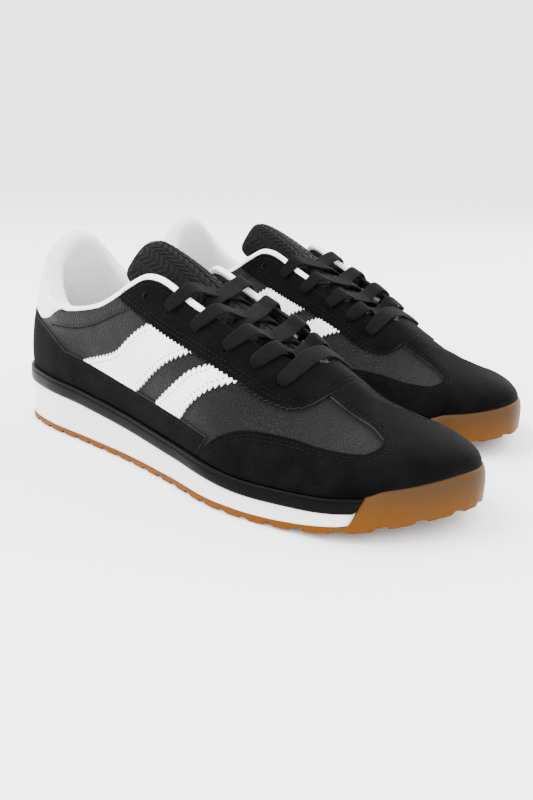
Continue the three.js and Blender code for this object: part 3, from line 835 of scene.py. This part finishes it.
# Inset, share of the height below the top, and mm above that.
BAND_PROFILE = [
    (4.6, 0, -.3), (2.4, 0, -.15), (1.3, 0, 0), (.75, 0, -.05), (.35, 0, -.3), (.2, 0, -.75),
    (.3, 0, -1.15), (.62, 0, -1.4), (.85, 0, -1.6), (.6, 0, -1.85), (.22, 0, -2.15),
    (.05, .1, -2.3), (0, .3, -2.0), (-.05, .5, -1.4), (0, .7, -.8), (.12, .85, -.4),
    (.35, .93, -.2), (.7, .98, -.1), (1.2, 1, 0), (4.6, 1, .1),
]


def band():
    """The black rubber band: a rounded lip, a fine groove and a broad face above the midsole."""
    q, side = around(spread(-END, 100, 1.2))
    tail = np.linspace(0, 1, 14)[1:]

    def section(station, s, t=0.0):
        rows = []
        for inset, share, z in BAND_PROFILE:
            height = band_height(station) - GAP
            level = -height * share + z
            last = 108.2 + 3.2 * (1 - min(max(-level / height, 0), 1))
            at = station + (last - station) * t
            close = .35 * float(step_up(t, .9, 1.0))
            rows.append(sole_point(at, s, inset + close, sole_top(at) + level)[0])
        return rows

    points = [section(100.0, -1.0, t) for t in tail[::-1]]
    points += [section(station, s) for station, s in zip(q, side)]
    points += [section(100.0, 1.0, t) for t in tail]
    return tube(np.array(points))


def sockliner():
    """The loose insole: a dished pad with rounded edges, narrow enough to lift out."""
    inset = through((-148, 17), (-60, 17), (-20, 12.5), (60, 15), (88, 19), (148, 24))
    dish = through((-148, 1.4), (-90, 1.2), (0, .5), (148, .3))
    rows = []
    for extra, z in ((1.5, 2.7), (.4, 2.8), (0, 3.4), (0, 4.8), (.5, 5.6), (1.6, 5.9)):
        rows.append((lambda q, side, e=extra: inset(q) + e,
                     lambda q, x, z=z: sole_top(x) + z + (dish(q) if z > 4 else 0) * .6))
    return sole_loop(spread(-END, END, 2.5), rows)


piece("gum_outsole", joined(outsole(), tread()), [GUM_RUBBER, GUM_RUBBER],
      nodes=["outsole"])
piece("white_midsole", midsole(), [MIDSOLE], nodes=["midsole"])
piece("rubber_band", band(), [BAND], nodes=["midsole_band"])
for liner in piece("insole", sockliner(), [LINER], body="insole",
                   nodes=["sockliner"]):
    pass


# ---------------------------------------------------------------- upper: base leather
def quarter(side):
    q = spread(-END, END, 2.0)
    rate = slope_v(q, np.minimum(rim(q), .98), side)
    drop = through((-148, 7), (-104, 6), (-92, 2), (-60, 1), (-46, 1.2), (64, 1.2))(q)
    lowest = np.minimum(np.minimum(rim(q - 4), rim(q)), rim(q + 4))
    edge = np.where(q < -88, lowest, rim(q))
    high = np.where(q > 62, .99, np.minimum(edge - drop / rate, .99))
    v, _, high_d = columns(q, side, np.zeros(len(q)), high, PLAIN, (0, .3, .8), 1.7)
    slope = slope_v(q[:, None], v, side)
    distance = (v - collar_seam(q)[:, None]) * slope
    fade = (step_up(q, -108, -100) * (1 - step_up(q, -40, -30)))[:, None]
    puff = fade * 1.1 * np.sin(np.clip(distance / 11, 0, 1) * math.pi / 2) ** .7
    groove = fade * .45 * np.exp(-(distance / .7) ** 2)
    wave = .1 * np.sin(q[:, None] / 9 + 5 * v) * np.sin(v * 9)
    under = (v - eyestay_edge(q)[:, None]) * slope
    sunk = .5 * step_up(under, 1.5, 3.5) * step_up(q, -47, -42)[:, None]
    edge = np.clip(high_d / .8, 0, 1)
    top = puff - groove + wave - sunk - .6 * (1 - edge) ** 2
    return patch(q, np.full(len(q), float(side)), v, top, -1.4)


for name, side in SIDES:
    piece(f"quarter_leather_{name}", quarter(side), [GRAIN, LEATHER_EDGE],
          nodes=[f"quarter_{name}"])


# ---------------------------------------------------------------- upper: suede overlays
def counter():
    """The suede round the heel, one piece from side to side."""
    half = spread(-END, -78.2, 1.2, near_end=(0, .3, .8))
    q, side = around(half)
    v, _, d = columns(q, side, np.zeros(len(q)), counter_edge(q), PLAIN, EDGE_ROWS, 1.8)
    return patch(q, side, v, relief(d, 1.25, sew=(2.45, 4.6)), -.25, distance=d)


def rail(side):
    """The suede strip above the sole; its front end slants under the toe overlay."""
    q = spread(-88, 38.5, 1.2, near_end=(0, .3, .8))
    v, _, d = columns(q, side, np.zeros(len(q)), rail_edge(q), PLAIN, EDGE_ROWS, 1.8)
    climb = v / rail_edge(q)[:, None]
    front = 31 + 6.5 * climb
    stations = -88 + (q[:, None] + 88) / 126.5 * (front + 88)
    return patch(stations, np.full(v.shape, float(side)), v, relief(d, 1.0), -.25, distance=d)


def overlay(parts):
    """One suede skin of sheets that meet; a part is points, normals, height, edge distance, side
    and quads."""
    n = 0
    base, top, bottom, quads, distance = [], [], [], [], []
    for points, normals, height, d, side, f in parts:
        base.append(points.reshape(-1, 3))
        top.append((points + normals * height[..., None]).reshape(-1, 3))
        bottom.append((points - normals * .25).reshape(-1, 3))
        quads.append((f[:, ::-1] if side > 0 else f) + n)
        distance.append(d.reshape(-1))
        n += d.size
    return solid(*(np.concatenate(a) for a in (base, top, bottom, quads, distance)))


def toe():
    """The toe overlay: a strip round the vamp's foot and a stem over it, one piece in front."""
    half = spread(32.4, END, .9, near_start=(0, .3, .8))
    stem = half[half > 76.5]
    parts = []
    for side in (-1.0, 1.0):
        edge = np.where(half >= 120, .56, toe_edge(half))
        v, _, d = columns(half, side, np.zeros(len(half)), edge, PLAIN, EDGE_ROWS, 1.8)
        strips = [(half, v, d)]
        edge = np.where(stem >= 120, .56, stem_edge(stem))
        v, d, _ = columns(stem, side, edge, np.ones(len(stem)), EDGE_ROWS, PLAIN, 1.8)
        strips.append((stem, v, d))
        for q, v, d in strips:
            qq = np.broadcast_to(q[:, None], v.shape)
            tip = np.hypot((qq - 120) * 1.4, (v - .56) * slope_v(qq, v, side))
            d = np.where(qq >= 120, tip, d)
            parts.append((surface(qq, v, side, ridge), normal_at(qq, v, side, ridge),
                          relief(d, 1.15, sew=(2.45, 4.4)), d, side, grid_faces(*v.shape)))
    return overlay(parts)


def punched(points, centres, radius):
    """Pulls the sheet's points to the rims of round holes; returns them and the cells to drop."""
    gone = np.zeros((points.shape[0] - 1, points.shape[1] - 1), bool)
    for centre, normal in centres:
        away = points - centre
        away = away - (away @ normal)[..., None] * normal
        far = np.linalg.norm(points - centre, axis=-1)
        r = np.linalg.norm(away, axis=-1)
        inside = (r < radius) & (far < 4 * radius)
        corners = np.stack([inside[:-1, :-1], inside[1:, :-1], inside[1:, 1:], inside[:-1, 1:]])
        touched = corners.any(0) & (corners.sum(0) >= 3)
        gone |= touched
        ring = np.zeros_like(inside)
        count = np.zeros(inside.shape, int)
        for a, b in ((0, 0), (1, 0), (1, 1), (0, 1)):
            view = (slice(a, a + touched.shape[0]), slice(b, b + touched.shape[1]))
            ring[view] |= touched
            count[view] += touched
        rim_points = ring & (count < 4)
        push = np.where(rim_points, radius / np.maximum(r, .2), 1)
        points = points + away * (push - 1)[..., None]
    return points, ~gone


def eyestay():
    """The suede U round the throat: pinked outer edges, two stitch lines, six eyelets a side."""
    q = spread(-46.5, 80, .42)
    edge = eyestay_edge(q)
    pink = tooth(q - q[0]) * (1 - step_up(q, 74, 78))
    throat = np.where(q < 64, rim(q) - strip_drop(q) / slope_v(q, np.minimum(rim(q), .98), -1.0), 1)
    low = np.minimum(edge + pink / slope_v(q, edge, -1.0), throat - .003)
    v, low_d, high_d = columns(q, -1.0, low, throat, EDGE_ROWS, (0, .25, .6, 1.2, 2.0), .75)
    high_d = np.where((q >= 64)[:, None], 50, high_d)
    front_d = (79.8 - q)[:, None] + 0 * v
    d = np.minimum(np.minimum(low_d + .3, high_d), front_d)
    height = relief(d, 1.3, sew=(2.9, 5.0))
    qq = np.broadcast_to(q[:, None], v.shape)
    parts = []
    for side in (-1.0, 1.0):
        centres = [(surface(a, b, side, ridge), normal_at(a, b, side, ridge)) for a, b in EYELETS]
        points, keep = punched(surface(qq, v, side, ridge), centres, 1.6)
        parts.append((points, normal_at(qq, v, side, ridge), height, d, side,
                      grid_faces(*v.shape)[keep.reshape(-1)]))
    return overlay(parts)


def heel_tab():
    """White leather round the back of the collar, padded in its middle."""
    half = spread(-END, -91.5, 1.0, near_end=(0, .3, .8))
    q, side = around(half)
    drop = through((-148, 2.6), (-116, 2.4), (-104, 1.4), (-92, .5))(q)
    high = rim(q) - drop / slope_v(q, rim(q), -1.0)
    low = np.minimum(tab_edge(q), high - .004)
    v, low_d, high_d = columns(q, side, low, high, EDGE_ROWS, (0, .3, .8, 1.5), 1.6)
    d = np.minimum(low_d, high_d)
    puff = .9 * np.sin(np.clip(high_d / 14, 0, 1) * math.pi) * np.clip(low_d / 8, 0, 1)
    return patch(q, side, v, relief(d, 1.5, round_over=.9, sew=()) + puff * .5, -.3)


def bar_edges(back, front):
    """Stations of a bar with its low and high pinked edge, and where it is tucked under another
    piece at its foot and at its top."""
    q = np.arange(back[0][0], front[-1][0], .3)
    edges = []
    for line in (front, back):
        v = through(*line)(q)
        run = arc_length(surface(q, v, -1.0, ridge))
        edges.append(v + tooth(run, 3.1, 2.1) / slope_v(q, v, -1.0))
    tucked, topped = q < front[0][0], q > back[-1][0]
    low = np.where(tucked, rail_edge(q) - .035, edges[0])
    high = np.where(topped, eyestay_edge(q) + .03, edges[1])
    return q, np.minimum(low, high - .002), high, tucked, topped


def nearest(points, line):
    """Distance from each point to the closest point of a line."""
    flat = points.reshape(-1, 3)
    parts = [np.linalg.norm(part[:, None] - line[None], axis=-1).min(1)
             for part in np.array_split(flat, max(1, len(flat) // 2000))]
    return np.concatenate(parts).reshape(points.shape[:-1])


def bar_line(edge):
    q = np.linspace(edge[0][0], edge[-1][0], 300)
    return q, through(*edge)(q)


def bar(side, back, front):
    q, low, high, tucked, topped = bar_edges(back, front)
    v, low_d, high_d = columns(q, side, low, high, EDGE_ROWS, EDGE_ROWS, 2.0)
    low_d = np.where(tucked[:, None], 50, low_d)
    high_d = np.where(topped[:, None], 50, high_d)
    rounded = relief(.72 * np.minimum(low_d, high_d), .85, round_over=.4, sew=())
    points = surface(q[:, None] + 0 * v, v, side, ridge)
    for edge in (back, front):
        sewn = nearest(points, surface(*bar_line(edge), side, ridge))
        rounded = rounded - .16 * np.exp(-((sewn - 2.6) / .5) ** 2)
    under_rail = (v - rail_edge(q)[:, None]) * slope_v(q[:, None], v, side)
    rounded = rounded - .85 * (1 - step_up(under_rail, -1.2, .4))
    return patch(q, np.full(v.shape, float(side)), v, rounded, -.5)


piece("suede_counter", counter(), [SUEDE, SUEDE_EDGE], nodes=["heel_counter"])
piece("white_heel_tab", heel_tab(), [TAB, WHITE_EDGE], nodes=["heel_tab"])
piece("suede_toe", toe(), [SUEDE, SUEDE_EDGE], nodes=["toe_overlay"])
piece("suede_eyestay", eyestay(), [SUEDE, SUEDE_EDGE], nodes=["eyestay"])
for name, side in SIDES:
    piece(f"suede_rail_{name}", rail(side), [SUEDE, SUEDE_EDGE],
          nodes=[f"rail_{name}"])
    for which, (back, front) in BARS.items():
        piece(f"white_{which}_{name}", bar(side, back, front), [WHITE, WHITE_EDGE],
              nodes=[f"{which}_{name}"])


# ---------------------------------------------------------------- collar pad and edge strip
def collar_pad():
    """The padded collar: a thick roll at the rim that thins out towards the insole."""
    q, side = around(spread(-END, -43, 3.0))
    rate = slope_v(q, rim(q), -1.0)
    deep = through((-148, 9.2), (-100, 8.6), (-60, 7.2), (-48, 4.8), (-43, 3.6))(q)
    front = through((-148, 1.1), (-108, .9), (-100, .3), (-90, -.8), (-43, -1.5))(q)
    crown = through((-148, 1.9), (-112, 1.9), (-92, 1.5), (-60, 1.2), (-43, .9))(q)
    foot_deep = through((-60, 7.6), (-43, 4.4))(q)
    low = .004
    top = rim(q)
    loop = []
    for share in (.1, .3, .5, .7, .86, .94, 1.0):
        v = low + (top - low) * share - (.6 / rate if share == 1 else 0)
        loop.append((v, -2.9 + (front + 2.9) * step_up(share, .86, .95)))
    for turn in (.25, .5, .75):
        a = turn * math.pi
        loop.append((top + crown * math.sin(a) / rate,
                     front - (deep + front) * (1 - math.cos(a)) / 2))
    for share in (1.0, .85, .7, .55, .4, .25, .1, 0):
        thin = foot_deep + (deep - foot_deep) * step_up(share, .1, .7)
        loop.append((low + (top - low) * share,
                     -np.maximum(thin, np.minimum(foot_deep, 5.8))))
    return tube(np.stack([onto(q, v, side, offset) for v, offset in loop], 1))


def mesh_arrays(obj):
    """The points and faces of an object with its modifiers applied."""
    dg = bpy.context.evaluated_depsgraph_get()
    mesh = obj.evaluated_get(dg).to_mesh()
    points = np.empty(len(mesh.vertices) * 3)
    mesh.vertices.foreach_get("co", points)
    faces = [list(p.vertices) for p in mesh.polygons]
    obj.evaluated_get(dg).to_mesh_clear()
    return points.reshape(-1, 3), faces


def blown(data, voxel, cap, pressure=4.0):
    """The shape inflated as a stuffed cover: voxel mesh, Cloth with pressure, moves capped."""
    mesh = bpy.data.meshes.new("pad_draft")
    mesh.from_pydata(data[0] / 1000, [], data[1])
    draft = bpy.data.objects.new("pad_draft", mesh)
    bpy.context.scene.collection.objects.link(draft)
    remesh = draft.modifiers.new("remesh", "REMESH")
    remesh.mode = "VOXEL"
    remesh.voxel_size = voxel / 1000
    points, faces = mesh_arrays(draft)
    draft.modifiers.remove(remesh)
    again = bpy.data.meshes.new("pad_even")
    again.from_pydata(points, [], faces)
    draft.data = again
    cloth = draft.modifiers.new("cloth", "CLOTH")
    cloth.settings.use_pressure = True
    cloth.settings.uniform_pressure_force = pressure
    cloth.settings.effector_weights.gravity = 0
    scene = bpy.context.scene
    scene.frame_start, scene.frame_end = 1, 20
    for f in range(1, 21):
        scene.frame_set(f)
    moved, _ = mesh_arrays(draft)
    draft.modifiers.remove(cloth)
    shift = moved - points
    size = np.maximum(np.linalg.norm(shift, axis=1, keepdims=True), 1e-9)
    points = points + shift * np.minimum(1, cap / 1000 / size)
    scene.frame_set(1)
    final = bpy.data.meshes.new("pad_final")
    final.from_pydata(points, [], faces)
    draft.data = final
    relax = draft.modifiers.new("relax", "SMOOTH")
    relax.iterations = 4
    finer = draft.modifiers.new("finer", "SUBSURF")
    finer.levels = finer.render_levels = 1
    points, faces = mesh_arrays(draft)
    bpy.data.objects.remove(draft)
    return turned_out(points * 1000, faces)


for pad in piece("collar_pad", blown(collar_pad(), 2.0, 1.0), [KNIT],
                 nodes=["collar_foam", "collar_lining"]):
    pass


def inner_lining(side):
    """The knit behind the quarter and the vamp, from the collar pad to the toe."""
    q = spread(-52, 120, 3.0)
    down = through((-52, 8), (-46, 3), (-20, 9), (120, 9))(q)
    high = np.minimum(rim(q) - down / slope_v(q, np.minimum(rim(q), .98), side), .6)
    v = columns(q, side, np.full(len(q), .02), high, PLAIN, (0, .4, 1), 4)[0]
    return patch(q, np.full(len(q), float(side)), v, -1.5, -3.4)


for name, side in SIDES:
    piece(f"inner_lining_{name}", inner_lining(side), [KNIT, KNIT],
          nodes=["vamp_lining"] if side < 0 else [])


def strip():
    """The white edge strip: from the collar's low point, over the top corner, down the throat."""
    q = spread(-95, 11, .7)
    drop = np.maximum(strip_drop(q), 1.2)
    deep = through((-95, 5), (-80, 5.2), (-60, 4.4), (-45, 3.0), (-36, 1.9), (11, 1.7))(q)
    lift = through((-95, .6), (-91, 1.1), (-60, 1.2), (-40, .9), (11, .3))(q)
    base = through((-95, .4), (-46, 1.3), (-40, 1.5), (-30, 1.5), (11, 1.45))(q)
    parts = []
    for side in (-1.0, 1.0):
        rate = slope_v(q, rim(q), side)
        ring = [(share * drop, base * height) for share, height in
                ((-1.0, .35), (-.97, .8), (-.85, 1.0), (-.5, 1.05), (-.15, 1.0))]
        for a in (.15, .35, .5, .65, .85):
            turn = a * math.pi
            across = base - (base + deep) * (1 - math.cos(turn)) / 2
            ring.append((lift * math.sin(turn), across))
        ring += [(share * drop, deep * height) for share, height in
                 ((-.2, -1.0), (-.6, -1.0), (-1.0, -.95))]
        ring.append((-drop, -.8))
        grid = np.stack([onto(q, rim(q) + climb / rate, side, offset) for climb, offset in ring], 1)
        forward = unit(grid[-1] - grid[-4])
        width = np.linspace(0, 1, grid.shape[1])
        grid[-1] += forward * (tooth(width * 9, 2.0, 1.0)[:, None] + .6)
        parts.append(tube(grid))
    return joined(*parts)


piece("edge_strip", strip(), [WHITE], nodes=["topline_binding"])


# ---------------------------------------------------------------- tongue
def plait(across, along, column=6.4, pitch=4.4):
    """A herringbone relief: columns of slanted pillow-shaped blocks, each leaning the other way."""
    k = np.floor(across / column)
    f = across / column - k
    slant = np.where(k % 2 > 0, f, 1 - f)
    block = (along / pitch + slant * 1.15) % 1
    return (1 - np.abs(2 * block - 1) ** 3.5) * (1 - np.abs(2 * f - 1) ** 9)


def tongue():
    """One padded strip under the laces, wide and free at its top, with a sewn border."""
    q = spread(-53, 91, .8, near_start=(0, .35, .9, 1.8))
    width = through(
        (-53, .68), (-52, .625), (-50, .59), (-46, .57), (-42, .58), (-36, .61), (-28, .66),
        (-16, .72), (-10, .67), (0, .62), (91, .62))(q)
    v_half = width[:, None] + (1 - width)[:, None] * np.linspace(0, 1, 64)
    v = np.concatenate([v_half, v_half[:, ::-1][:, 1:]], 1)
    side = np.concatenate([np.full(64, -1.0), np.full(63, 1.0)])[None, :] + 0 * v
    outward = np.clip((1 - v) / .44, 0, 1) ** 3
    qq = q[:, None] - 5 * outward * (1 - step_up(q, -53, -38))[:, None]
    base = surface(qq, v, side, tongue_ridge)
    m = normal_at(qq, v, side, tongue_ridge)
    half = np.linalg.norm(np.diff(base, axis=1), axis=-1)
    run = np.concatenate([np.zeros((len(q), 1)), np.cumsum(half, 1)], 1)
    across = run - run[:, 63:64]
    d = np.minimum(np.minimum(run, run[:, -1:] - run), (q - q[0])[:, None] * 1.2)
    along = np.concatenate([[0], np.cumsum(np.linalg.norm(np.diff(base[:, 63], axis=0), axis=1))])
    roundness = np.sqrt(np.clip(1 - (1 - np.clip(d / 1.6, 0, 1)) ** 2, 0, 1))
    pattern = plait(across, along[:, None] + 0 * across) * np.clip((d - 3.2) / .8, 0, 1)
    sewn = .35 * np.exp(-((d - 2.6) / .5) ** 2)
    crown = .5 * np.clip(d / 9, 0, 1)
    top = -9.4 + 1.6 * roundness + crown + .65 * pattern - sewn
    bottom = -9.6 - 1.1 * roundness
    sheets = (base, base + m * top[..., None], base + m * bottom[..., None])
    return solid(*(a.reshape(-1, 3) for a in sheets), grid_faces(*v.shape))


BEND = (-6, -21)      # two stations whose points on the tongue's line are worked out below; the tongue is not bent


made = piece("tongue_plaited", tongue(), [EMBOSSED, EMBOSSED], body=None,
             nodes=["tongue", "tongue_flap"])
for foot, obj in zip(FEET, made):
    start, end = (place(onto(q, .99, -1, -9), foot)[0] for q in BEND)
    tuple(start)
    tuple(end)
    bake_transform(obj)


# ---------------------------------------------------------------- lace
LACE_INSIDE = -6.4
LACE_OUTSIDE = 2.6
LACE_WIDTH = 9.2


def lace_place(q, v, side, offset, width, lengthwise=False):
    """A place on the lace's route, the direction across the lace there, and its width."""
    p = onto(q, v, side, offset)
    beside = onto(q, v - .01, side, offset) if lengthwise else onto(q + 1.0, v, side, offset)
    return p, unit(beside - p), width


def crossing(k, side):
    """Out from under one eyelet of pair k, over the throat and into the next on the far side."""
    (q, v), (nq, nv) = EYELETS[k], EYELETS[k + 1]

    def at(share):
        return q + (nq - q) * share

    lift = 2.3 if side < 0 else 0
    return [
        lace_place(q, v, side, LACE_INSIDE, 3.4),
        lace_place(at(.22), rim(at(.22)) - .01, side, LACE_INSIDE, 6.5),
        lace_place(at(.36), .9, side, LACE_INSIDE + .6 + lift / 2, 7.5),
        lace_place(at(.5), 1, side, LACE_INSIDE + .1 + lift, LACE_WIDTH),
        lace_place(at(.64), .9, -side, LACE_INSIDE + 3 + lift / 2, LACE_WIDTH),
        lace_place(at(.8), rim(at(.8)) + .04, -side, LACE_OUTSIDE, LACE_WIDTH),
        lace_place(at(.97), nv + .035, -side, LACE_OUTSIDE, 7.2),
        lace_place(nq, nv + .004, -side, LACE_OUTSIDE - .5, 5),
        lace_place(nq, nv, -side, .3, 3),
    ]


def lace_half(start):
    """From the lowest pair up to the fifth, and then down inside the shoe."""
    places = []
    used = len(EYELETS) - 2
    for k in range(used):
        places += crossing(k, -start if k % 2 else start)
    side = -start if used % 2 else start
    q, v = EYELETS[used]
    places.append(lace_place(q, v, side, LACE_INSIDE, 3.4))
    places.append(lace_place(q + 3, v - .04, side, LACE_INSIDE - 1.2, 5))
    for step in range(1, 5):
        places.append(lace_place(q + 3 + step * 11, v - .08 - step * .04, side,
                                 LACE_INSIDE - 3.4, 6, True))
    return places


def lace_bar():
    """The straight stretch over the lowest pair of eyelets."""
    q, v = EYELETS[0]
    over = LACE_OUTSIDE
    climb = [(v, .3, 3), (v + .004, over - .5, 5), (v + .04, over, 7.2), (.88, over, LACE_WIDTH)]
    stops = [(-1, *stop) for stop in climb] + [(1, 1, over, LACE_WIDTH)]
    stops += [(1, *stop) for stop in climb[::-1]]
    return [lace_place(q, a, s, o, w) for s, a, o, w in stops]


def lace():
    """The flat lace: a ribbed ribbon, narrower and thicker where it goes through an eyelet."""
    places = lace_half(-1)[::-1] + lace_bar() + lace_half(1)
    p = np.array([a for a, _, _ in places])
    across = [places[0][1]]
    for _, a, _ in places[1:]:
        across.append(a if np.dot(a, across[-1]) > 0 else -a)
    across = np.array(across)
    width = np.array([w for _, _, w in places])
    run = arc_length(p)
    fine = np.arange(0, run[-1], .9)
    curve = np.stack([through(*zip(run, p[:, k]))(fine) for k in range(3)], -1)
    wide = unit(np.stack([np.interp(fine, run, across[:, k]) for k in range(3)], -1))
    size = through(*zip(run, width))(fine)
    ahead = unit(np.gradient(curve, axis=0))
    wide = unit(wide - ahead * (wide * ahead).sum(1, keepdims=True))
    thick_way = np.cross(ahead, wide)
    s = np.linspace(-1, 1, 43)
    ribs = .66 + .34 * np.abs(np.cos(s * 7 * math.pi / 2)) ** .7
    profile = list(zip(s, ribs * (1 - np.abs(s) ** 9 * .75)))
    profile += [(a, -h) for a, h in profile[-2:0:-1]]
    thickness = 1.4 * np.clip(LACE_WIDTH / size, 1, 1.8) ** .5
    squash = 1 - .12 * np.sin(fine / 1.1) ** 2
    rows = []
    for a, h in profile:
        cup = .35 * (1 - a * a) * np.clip(LACE_WIDTH / size - 1, 0, 1)
        rows.append(curve + wide * (a * size / 2)[:, None]
                    + thick_way * ((h * squash * .06 + h * .94 + cup) * thickness / 2)[:, None])
    return tube(np.stack(rows, 1))


piece("flat_lace", lace(), [LACE], nodes=["lace"])


# ---------------------------------------------------------------- stitching
def rows_of_stitches():
    """The black stitch lines of every overlay and of the collar seam."""
    paths = []

    def add(*line):
        paths.append(edge_path(*line))

    for side in (-1.0, 1.0):
        for inset in (2.45, 4.6):
            q = np.linspace(-147, -79.5, 200)
            add(q, np.maximum(counter_edge(q) - inset / slope_v(q, .15, side), .004), side, 0, 1.12)
        q = np.linspace(-84, 33, 300)
        add(q, rail_edge(q) - 2.45 / slope_v(q, rail_edge(q), side), side, 0, .9)
        for inset in (2.45, 4.4):
            q = np.linspace(36, 119.9, 500)
            add(q, toe_edge(q), side, side * inset, 1.05)
            q = np.linspace(80, 119.9, 300)
            add(q, stem_edge(q), side, -side * inset, 1.05)
        for inset in (2.9, 5.0):
            q = np.linspace(-44, 66, 300)
            add(q, eyestay_edge(q), side, -side * inset, 1.2)
        q = np.linspace(-104, -33, 200)
        add(q, collar_seam(q), side, 0, -.05)
        add(q[:190], collar_seam(q[:190]), side, -side * 1.8, .25)
        q = np.linspace(-36, 52, 260)
        add(q, rim(q) - 5.6 / slope_v(q, rim(q), side), side, 0, 1.35)
    return paths


def bar_holes():
    """The stitch lines of the white bars, just inside their pinked edges."""
    paths = []
    for side in (-1.0, 1.0):
        for back, front in BARS.values():
            for edge, way in ((back, 1), (front, -1)):
                q, v = bar_line(edge)
                seen = (v < eyestay_edge(q) - .015) & (v > rail_edge(q) + .02)
                paths.append(edge_path(q[seen], v[seen], side, way * side * 2.6, .72))
    return paths


piece("stitching", thread(rows_of_stitches()), [THREAD])
piece("bar_stitching", thread(bar_holes(), 1.9, .5, .3, 0), [GREY_THREAD])
piece("bar_needle_holes", thread(bar_holes(), 1.0, .85, .4, .02), [HOLE])

# ---------------------------------------------------------------- carried-over CAD nodes
for foot in FEET:
    for node, finish in (("lasting_board", BOARD), ("toe_puff", BOARD), ("heel_stiffener", BOARD),
                         ("aglet_lateral", TIP), ("aglet_medial", TIP)):
        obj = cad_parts[f"{foot}_{node}"]
        obj.data.materials.clear()
        obj.data.materials.append(finish)
